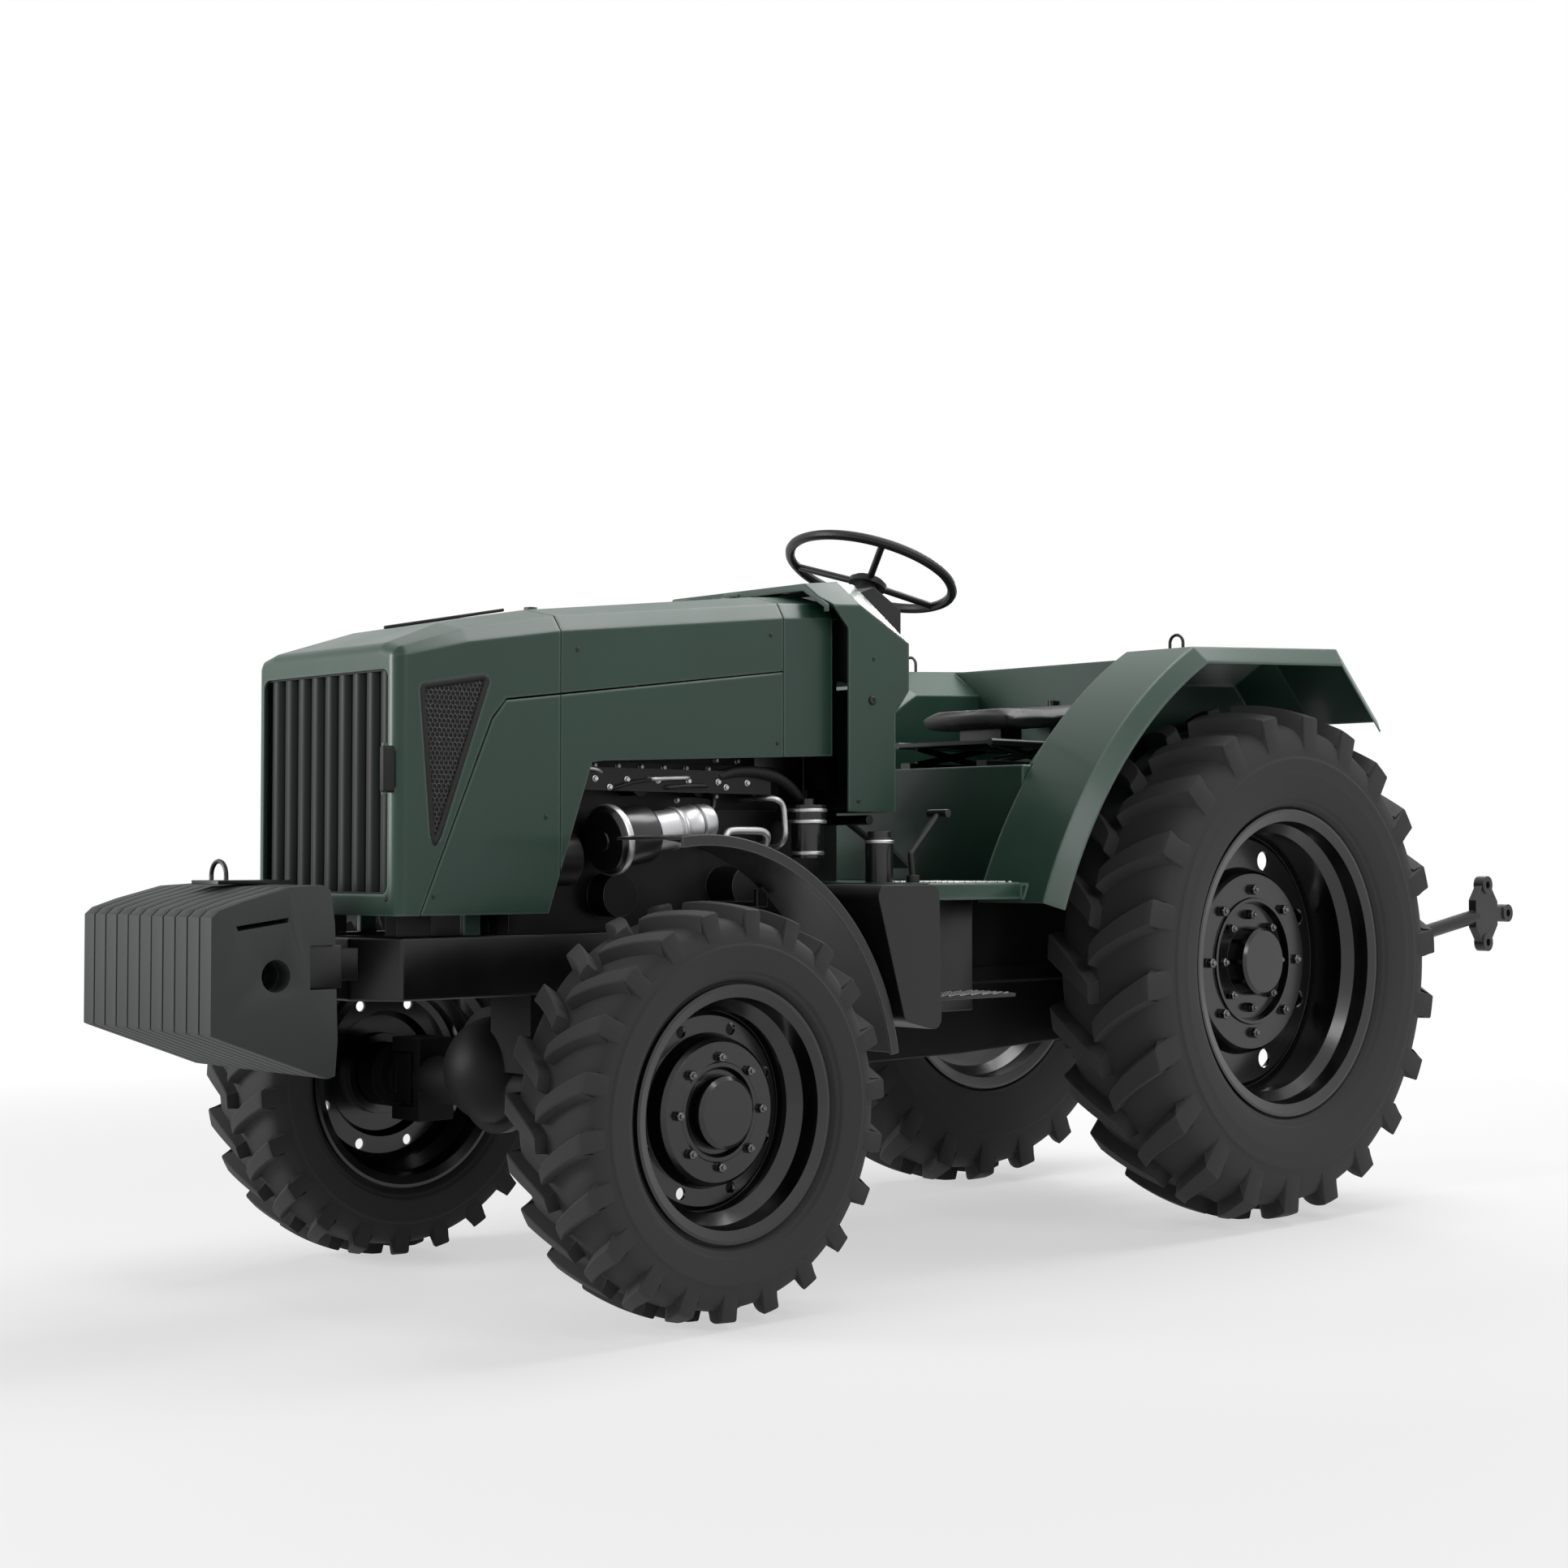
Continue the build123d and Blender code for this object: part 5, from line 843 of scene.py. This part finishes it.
# seat cushion from the side: (y, z) round its outline, and along the line midway between its faces
SEAT_PROFILE = [(-500.0, 1236.0), (-519.0, 1246.0), (-521.0, 1262.0), (-508.0, 1275.0), (-352.0, 1278.0),
                (-180.0, 1300.0), (-139.0, 1306.0), (-139.0, 1280.0), (-190.0, 1262.0), (-352.0, 1240.0)]
SEAT_MIDDLE = [(-520.0, 1256.0), (-352.0, 1259.0), (-139.0, 1292.0)]
SEAT_INSET = 5.0        # room that the cushion starts with for its cloth to swell into
SEAT_ROUND = 0.14       # share of the half width over which each end rounds off
SEAT_CROWN = 0.04       # how much thicker the middle is
# cloth of the cushion: voxel of its mesh in metres, pressure, steps a frame, and frames
CLOTH_VOXEL, CLOTH_PRESSURE, CLOTH_QUALITY, CLOTH_FRAMES = 0.005, 4.0, 5, 20


def cushion_surface(profile, half, inset):
    """The side profile, drawn in towards its middle line by inset, carried across the seat. Its height
    grows by the crown towards the middle and shrinks along a quarter circle towards each end."""
    p = smooth_curve(profile, 5, closed=True)
    centre = np.stack([p[:, 0], np.interp(p[:, 0], *np.transpose(SEAT_MIDDLE))], 1)
    reach = p - centre
    reach *= 1 - inset / np.maximum(np.linalg.norm(reach, axis=1, keepdims=True), inset + 4.0)
    turn = np.linspace(-1, 1, 33)
    rim = np.clip((1 - np.abs(turn)) / SEAT_ROUND, 0, 1)
    full = np.sqrt(1 - (1 - rim) ** 2) * 0.97 + 0.03
    crown = 1 + SEAT_CROWN * (1 - turn ** 2)
    spread = 1 - 0.10 * (1 - full)
    mid_y = p[:, 0].mean()
    y = mid_y + (centre[:, 0] + reach[:, 0] - mid_y)[None] * spread[:, None]
    z = centre[:, 1][None] + reach[:, 1][None] * (full * crown)[:, None]
    x = np.broadcast_to((turn * (half - inset))[:, None], y.shape)
    return sheet_of(np.stack([x, y, z], -1), wrap_cols=True, caps=True)


def swell(obj, most):
    """Remesh, let pressure fill the cushion as cloth for some frames, and hold each point within most."""
    remesh = obj.modifiers.new("remesh", "REMESH")
    remesh.mode = "VOXEL"
    remesh.voxel_size = CLOTH_VOXEL
    apply(obj, remesh)
    before = np.empty(len(obj.data.vertices) * 3)
    obj.data.vertices.foreach_get("co", before)
    cloth = obj.modifiers.new("cloth", "CLOTH")
    cloth.settings.use_pressure = True
    cloth.settings.uniform_pressure_force = CLOTH_PRESSURE
    cloth.settings.quality = CLOTH_QUALITY
    cloth.settings.effector_weights.gravity = 0.0
    scene = bpy.context.scene
    for step in range(CLOTH_FRAMES):
        scene.frame_set(step + 1)
    shape = obj.evaluated_get(bpy.context.evaluated_depsgraph_get()).to_mesh()
    after = np.empty_like(before)
    shape.vertices.foreach_get("co", after)
    obj.modifiers.remove(cloth)
    scene.frame_set(1)
    start = before.reshape(-1, 3)
    move = after.reshape(-1, 3) - start
    far = np.linalg.norm(move, axis=1, keepdims=True)
    move *= np.minimum(1.0, most / np.maximum(far, 1e-9))
    obj.data.vertices.foreach_set("co", (start + move).ravel())
    obj.data.update()


def apply(obj, modifier):
    """Keeps the evaluated mesh as the object's own, and takes the modifier off."""
    shape = obj.evaluated_get(bpy.context.evaluated_depsgraph_get())
    made = bpy.data.meshes.new_from_object(shape)
    obj.modifiers.remove(modifier)
    obj.data = made


class TRACTOR_OT_seat(bpy.types.Operator):
    """Make the padded seat cushion"""
    bl_idname = "tractor.seat"
    bl_label = "Seat"

    def execute(self, context):
        look = context.scene.tractor_sizes
        half = float(span("seat_cushion")[1][0])
        cushion = piece("seat_pad", [cushion_surface(SEAT_PROFILE, half, SEAT_INSET)], finish("seat_vinyl"),
                        "seat_cushion", replaces=["seat_cushion"])
        swell(cushion, look.seat_swell)
        smooth = cushion.modifiers.new("smooth", "SUBSURF")
        smooth.levels = smooth.render_levels = 1
        cushion.data.polygons.foreach_set("use_smooth", np.ones(len(cushion.data.polygons), bool))
        return {"FINISHED"}


# studded areas, the platform's and the step's: x from and to, y from and to, z; then a stud's own sizes
TREADS = ((330.0, 548.0, -1150.0, -962.0, 850.0), (420.0, 548.0, -1205.0, -970.0, 604.0))
STUD_RADIUS, STUD_HEIGHT, STUD_SIDES = 5.5, 2.6, 10


class TRACTOR_OT_treads(bpy.types.Operator):
    """Make the studs on platform and steps"""
    bl_idname = "tractor.treads"
    bl_label = "Step treads"

    def execute(self, context):
        pitch = context.scene.tractor_sizes.stud_pitch * 1000
        made = []
        for x0, x1, y0, y1, z in TREADS:
            x, y = np.meshgrid(np.arange(x0, x1, pitch), np.arange(y0, y1, pitch), indexing="ij")
            x = x + 0.5 * pitch * (np.arange(y.shape[1]) % 2)
            spots = np.stack([x.ravel(), y.ravel(), np.full(x.size, z)], 1)
            spots = spots[spots[:, 0] < x1]
            made.append(studs(spots, STUD_RADIUS, STUD_HEIGHT))
        piece("tread_studs", both_sides(made), finish("tread_steel"), "platform")
        return {"FINISHED"}


def studs(spots, radius, height):
    """Low round studs: rings of points at three heights about each spot, closed above and below."""
    n = STUD_SIDES
    ring = circle(1.0, n)
    rows = [(radius, -0.6), (0.92 * radius, 0.5 * height), (0.6 * radius, height)]
    grid = np.stack([np.concatenate([spots[:, None, :2] + ring * r,
                                     np.broadcast_to(spots[:, None, 2:] + z, (len(spots), n, 1))], -1)
                     for r, z in rows], 1)
    start = (np.arange(len(spots)) * 3 * n)[:, None]
    base = quads(3, n, wrap_cols=True)
    faces = [(base[None] + start[:, :, None]).reshape(-1, 4), np.arange(2 * n, 3 * n)[None] + start,
             np.arange(n)[None, ::-1] + start]
    return grid.reshape(-1, 3), faces


# hood pull: middle x and z, half width and height, front and back y
PULL = dict(x=241.0, z=1073.5, half=7.0, high=45.0, front=-2429.5, back=-2402.0)
# lip along the top of the cowl's front edge: outer and inner corners (x, z), front and back y
LIP_OUTER = [(299.0, 1452.0), (299.0, 1467.0), (224.5, 1519.0), (-224.5, 1519.0), (-299.0, 1467.0),
             (-299.0, 1452.0)]
LIP_INNER = [(290.0, 1452.0), (290.0, 1462.0), (221.0, 1504.0), (-221.0, 1504.0), (-290.0, 1462.0),
             (-290.0, 1452.0)]
LIP_Y = (-1298.0, -1292.0)
# rail on the hood's top: from and to in x and y, height; and (y, z) of the flat under it at two stations
RAIL = dict(x=(-106.0, -96.0), y=(-2196.0, -1890.0), high=7.0)
RAIL_TOP = [(-2240.0, 1372.0), (-2010.0, 1416.0)]
RAIL_SLOPE = (RAIL_TOP[1][1] - RAIL_TOP[0][1]) / (RAIL_TOP[1][0] - RAIL_TOP[0][0])


class TRACTOR_OT_hood_trim(bpy.types.Operator):
    """Make the black pull and the low rail on the hood, and the lip over the cowl's front edge"""
    bl_idname = "tractor.hood_trim"
    bl_label = "Hood trim"

    def execute(self, context):
        x, z, half, high = PULL["x"], PULL["z"], PULL["half"], PULL["high"]
        plan = [(x - half, z - high), (x + half, z - high), (x + half, z + high), (x - half, z + high)]
        pull = slab(round_corners(plan, half * 0.95, 8), PULL["front"], PULL["back"], "y", 3.0)
        (x0, x1), (y0, y1) = RAIL["x"], RAIL["y"]
        rail_plan = [(x0, y0), (x1, y0), (x1, y1), (x0, y1)]
        rail = slab(round_corners(rail_plan, 4.0, 6), 0.0, RAIL["high"], "z", 2.0)
        rail[0][:, 2] += RAIL_TOP[0][1] + (rail[0][:, 1] - RAIL_TOP[0][0]) * RAIL_SLOPE
        piece("hood_pull_and_rail", [pull, rail], finish("trim_rubber"), "hood_lid")
        corners = [np.column_stack([np.array(row)[:, 0], np.full(len(row), y), np.array(row)[:, 1]])
                   for row, y in ((LIP_OUTER, LIP_Y[0]), (LIP_INNER, LIP_Y[0]), (LIP_INNER, LIP_Y[1]),
                                  (LIP_OUTER, LIP_Y[1]))]
        lip = sheet_of(np.stack(corners, 1), wrap_cols=True, caps=True)
        piece("cowl_front_lip", [lip], finish("body_green"), "cowl")
        return {"FINISHED"}


# engine side pipes: radius, finish, points (x, y, z)
PIPES = [
    (13.0, "trim_rubber", [(214, -1548, 1080), (222, -1500, 1092), (226, -1440, 1092), (226, -1383, 1081),
                           (222, -1335, 1058), (216, -1300, 1030)]),
    (9.0, "bright_steel", [(146, -1535, 932), (205, -1535, 933), (224, -1535, 948), (226, -1522, 962),
                           (228, -1470, 964), (228, -1428, 962), (226, -1412, 950), (205, -1407, 931),
                           (146, -1407, 930)]),
    (5.0, "bright_steel", [(216, -1755, 1071), (232, -1740, 1071), (232, -1700, 1073), (230, -1650, 1075),
                           (216, -1636, 1075)]),
    (4.0, "satin_black", [(216, -1711, 1054), (232, -1697, 1054), (232, -1650, 1058), (230, -1596, 1059),
                          (216, -1584, 1059)]),
    (7.0, "bright_steel", [(124, -1404, 1035), (205, -1404, 1036), (228, -1388, 1034), (232, -1370, 1020),
                           (232, -1364, 985), (230, -1362, 950), (205, -1362, 930), (146, -1362, 928)]),
    (6.0, "satin_black", [(184, -1640, 985), (222, -1630, 986), (232, -1600, 992), (226, -1572, 1012),
                          (205, -1560, 1036), (124, -1560, 1044)]),
    (5.0, "bright_steel", [(124, -1990, 1085), (205, -1988, 1086), (226, -1960, 1090), (228, -1900, 1088),
                           (216, -1868, 1078)]),
    (3.5, "trim_rubber", [(218, -1862, 1048), (230, -1845, 1050), (232, -1800, 1062), (232, -1751, 1069)]),
]


# air cleaner beside the engine: middle of its cap, its run, and profiles of (along, radius)
CLEANER_START, CLEANER_RUN = (226.0, -1862.0, 941.0), (0.0, 222.0, 33.0)
CLEANER_BODY = [(-12.0, 58.0), (-14.0, 64.0), (-10.0, 69.0), (-2.0, 72.0), (10.0, 72.0), (14.0, 70.0),
                (16.0, 63.0), (92.0, 62.0), (101.0, 58.0), (106.0, 46.0)]
CLEANER_KNOB = [(-14.0, 22.0), (-17.0, 20.0), (-18.0, 14.0)]
CLEANER_FOOT = ((148.0, -1800.0, 925.0), (190.0, -1770.0, 965.0))      # corners of the block that carries it
CLEANER_BRIGHT = [
    [(-4.0, 71.5), (-4.0, 74.0), (-1.0, 75.0), (8.0, 75.0), (11.0, 74.0), (11.0, 71.5)],
    [(104.0, 45.0), (112.0, 45.5), (116.0, 42.0), (172.0, 42.0), (176.0, 46.0), (181.0, 46.0)],
    [(184.0, 38.0), (186.0, 42.0), (190.0, 43.5), (196.0, 41.0), (226.0, 41.0), (232.0, 43.5), (238.0, 38.0)],
    [(241.0, 36.0), (244.0, 40.0), (250.0, 41.0), (270.0, 40.0), (276.0, 38.0), (280.0, 30.0)],
]
# bright rings round the fuel filter and the reservoir: middle and radius
CAN_RINGS = [((236.0, -1298.0, 1010.0), 43.0), ((236.0, -1298.0, 985.0), 42.5),
             ((236.0, -1298.0, 915.0), 36.5), ((372.0, -1208.0, 940.0), 31.5)]
# x of the manifold's face, the head's wall and the valve cover's wall, then the bolts on them
MANIFOLD_X, HEAD_X, COVER_X = 224.0, 130.0, 85.0
ENGINE_BOLTS = ([(MANIFOLD_X, y, 1068.0) for y in range(-1895, -1460, 85)]
                + [(COVER_X, y, 1170.0) for y in range(-1960, -1400, 110)]
                + [(HEAD_X, y, 1100.0) for y in range(-1950, -1500, 64)]
                + [(COVER_X, y, 1122.0) for y in (-1822, -1758, -1694, -1438, -1374)]
                + [(HEAD_X, -1592.0, 1030.0), (HEAD_X, -1479.0, 1040.0), (MANIFOLD_X, -1532.0, 1057.0),
                   (MANIFOLD_X, -1856.0, 1051.0)])
BOLT_RADIUS, BOLT_HEIGHT = 5.5, 6.0


def can_ring(middle, radius):
    """A bright band with rounded rims round an upright can."""
    return turned([(-4.0, radius - 2), (-4.0, radius), (-2.5, radius + 1.2), (2.5, radius + 1.2),
                   (4.0, radius), (4.0, radius - 2)], middle, (0, 0, 1), 40)


class TRACTOR_OT_engine_fittings(bpy.types.Operator):
    """Make the engine's pipes, rings and bolts, and the air cleaner beside it"""
    bl_idname = "tractor.engine_fittings"
    bl_label = "Engine fittings"

    def execute(self, context):
        by_finish = {}
        for radius, name, points in PIPES:
            by_finish.setdefault(name, []).append(tube(points, radius, up=(1.0, 0.0, 0.0)))
        start, run = np.array(CLEANER_START), np.array(CLEANER_RUN)
        run /= np.linalg.norm(run)
        dark = [turned(CLEANER_BODY, start, run, 48), turned(CLEANER_KNOB, start, run, 24)]
        dark.append(box_slab(*CLEANER_FOOT, 2.0, 4.0))
        piece("air_cleaner_body", dark, finish("filter_black"), "air_cleaner", replaces=["air_cleaner"])
        bright = by_finish["bright_steel"]
        bright += [turned(profile, start, run, 48) for profile in CLEANER_BRIGHT]
        bright += [can_ring(middle, radius) for middle, radius in CAN_RINGS]
        for at in ENGINE_BOLTS:
            bright += bolt(at, (1, 0, 0), BOLT_RADIUS, BOLT_HEIGHT)
        for name, surfaces in by_finish.items():
            piece(f"engine_fittings_{name}", surfaces, finish(name), "engine_block")
        return {"FINISHED"}


# ---------------------------------------------------------------- stage
# camera place in metres, its heading from -x towards +y and its upward tilt in degrees, lens in mm
CAMERA = dict(place=(4.06256, -4.31085, 0.90021), heading=43.297, tilt=1.826, lens=54.55)
# lamps: name, place, aim, width, height, watts
LAMPS = [
    ("softbox_top", (0.4, 1.6, 4.6), (0.0, 0.0, 0.9), 2.4, 3.6, 165.0),
    ("softbox_side", (4.8, -0.6, 3.6), (0.3, 0.0, 1.0), 0.8, 3.2, 56.0),
    ("softbox_front", (-2.4, -5.6, 2.0), (0.0, -1.2, 0.8), 1.8, 2.2, 175.0),
    ("softbox_rear", (-3.5, 5.2, 3.0), (0.0, 0.6, 0.9), 2.4, 1.6, 150.0),
]
WORLD_LEVEL = 0.12          # how strongly the white surroundings light matt faces
# the floor turns white: distances in metres from the middle, and share of white at each
BLANK_FROM, BLANK_TO, BLANK_NEAR, BLANK_FAR = 2.2, 5.0, 0.55, 1.0
FLOOR_STEPS = 9             # points along each side of the floor's grid


def seen_white(t):
    """1 where the ray comes from the camera, a glossy face or through glass, else 0."""
    path = t.node("LightPath").outputs
    seen = t.math("MAXIMUM", path["Is Camera Ray"], path["Is Glossy Ray"])
    return t.math("MAXIMUM", seen, path["Is Transmission Ray"])


def floor_material(tone):
    """Pale matt floor that keeps the shadow near the object and turns plain white further out."""
    mat = bpy.data.materials.new("pale_floor")
    mat.use_nodes = True
    t = Tree(mat.node_tree)
    t.tree.nodes.clear()
    where = t.node("TexCoord").outputs["Object"]
    far = t.node("VectorMath", {0: where}, operation="LENGTH").outputs["Value"]
    matt = t.node("BsdfDiffuse", {"Color": (tone, tone, tone, 1.0)}).outputs[0]
    white = t.node("Emission", {"Color": (1, 1, 1, 1), "Strength": 1.0}).outputs[0]
    blank = t.math("MULTIPLY", t.ramp(far, BLANK_FROM, BLANK_TO, BLANK_NEAR, BLANK_FAR), seen_white(t))
    mixed = t.node("MixShader", {0: blank, 1: matt, 2: white}).outputs[0]
    t.feed(t.node("OutputMaterial").inputs["Surface"], mixed)
    return mat


class TRACTOR_OT_stage(bpy.types.Operator):
    """Make the floor, lamps, plain white surroundings and camera"""
    bl_idname = "tractor.stage"
    bl_label = "Stage"

    def execute(self, context):
        look, scene = context.scene.tractor_stage, context.scene
        side = np.linspace(-look.size, look.size, FLOOR_STEPS) * 1000
        x, y = np.meshgrid(side, side, indexing="ij")
        grid = np.stack([x, y - REAR_AXLE_Y * 1000, np.zeros_like(x)], -1)
        co, faces = sheet_of(grid)
        mesh = bpy.data.meshes.new("floor")
        mesh.from_pydata(place(co), [], faces[0][:, ::-1])
        mesh.materials.append(floor_material(look.floor))
        floor = bpy.data.objects.new("floor", mesh)
        scene.collection.objects.link(floor)

        world = bpy.data.worlds.new("surroundings")
        scene.world = world
        world.use_nodes = True
        t = Tree(world.node_tree)
        back = world.node_tree.nodes["Background"]
        t.feed(back.inputs["Color"], (1, 1, 1, 1))
        t.feed(back.inputs["Strength"], t.ramp(seen_white(t), 0.0, 1.0, WORLD_LEVEL, 1.0))

        for name, at, aim, wide, high, watts in LAMPS:
            lamp = bpy.data.objects.new(name, bpy.data.lights.new(name, "AREA"))
            lamp.data.shape = "RECTANGLE"
            lamp.data.size, lamp.data.size_y = wide, high
            lamp.data.energy = watts * look.lamps
            lamp.location = at
            lamp.rotation_euler = (Vector(aim) - Vector(at)).to_track_quat("-Z", "Y").to_euler()
            scene.collection.objects.link(lamp)

        camera = bpy.data.objects.new("camera", bpy.data.cameras.new("camera"))
        heading, tilt = math.radians(CAMERA["heading"]), math.radians(CAMERA["tilt"])
        view = Vector((-math.cos(heading) * math.cos(tilt), math.sin(heading) * math.cos(tilt),
                       math.sin(tilt)))
        camera.location = CAMERA["place"]
        camera.rotation_euler = view.to_track_quat("-Z", "Y").to_euler()
        camera.data.lens, camera.data.sensor_width = CAMERA["lens"], 36.0
        scene.collection.objects.link(camera)
        scene.camera = camera
        scene.view_settings.view_transform = "Standard"
        return {"FINISHED"}


# ---------------------------------------------------------------- panel and registration
OPERATORS = (TRACTOR_OT_finishes, TRACTOR_OT_rounded_panels, TRACTOR_OT_wheel_nuts, TRACTOR_OT_tyres,
             TRACTOR_OT_side_mesh, TRACTOR_OT_screws, TRACTOR_OT_seat, TRACTOR_OT_treads,
             TRACTOR_OT_hood_trim, TRACTOR_OT_engine_fittings, TRACTOR_OT_stage)
GROUPS = {"tractor_finishes": TractorFinishes, "tractor_sizes": TractorSizes, "tractor_stage": TractorStage}


class TRACTOR_PT_dressing(bpy.types.Panel):
    """Lists the operators and what they read"""
    bl_idname = "TRACTOR_PT_dressing"
    bl_label = "Tractor"
    bl_space_type = "VIEW_3D"
    bl_region_type = "UI"
    bl_category = "Tractor"

    def draw(self, context):
        for name, group in GROUPS.items():
            for key in group.__annotations__:
                self.layout.prop(getattr(context.scene, name), key)
        for operator in OPERATORS:
            self.layout.operator(operator.bl_idname)


CLASSES = (*GROUPS.values(), *OPERATORS, TRACTOR_PT_dressing)


def register():
    """Makes the classes known, and hangs what a user may change on the scene."""
    for each in CLASSES:
        bpy.utils.register_class(each)
    for name, group in GROUPS.items():
        setattr(bpy.types.Scene, name, PointerProperty(type=group))


def unregister():
    """Takes back what register did."""
    for name in GROUPS:
        delattr(bpy.types.Scene, name)
    for each in reversed(CLASSES):
        bpy.utils.unregister_class(each)


def main():
    """Runs every operator in order."""
    register()
    for operator in OPERATORS:
        getattr(bpy.ops.tractor, operator.bl_idname.split(".")[1])()


if __name__ == "__main__":
    main()
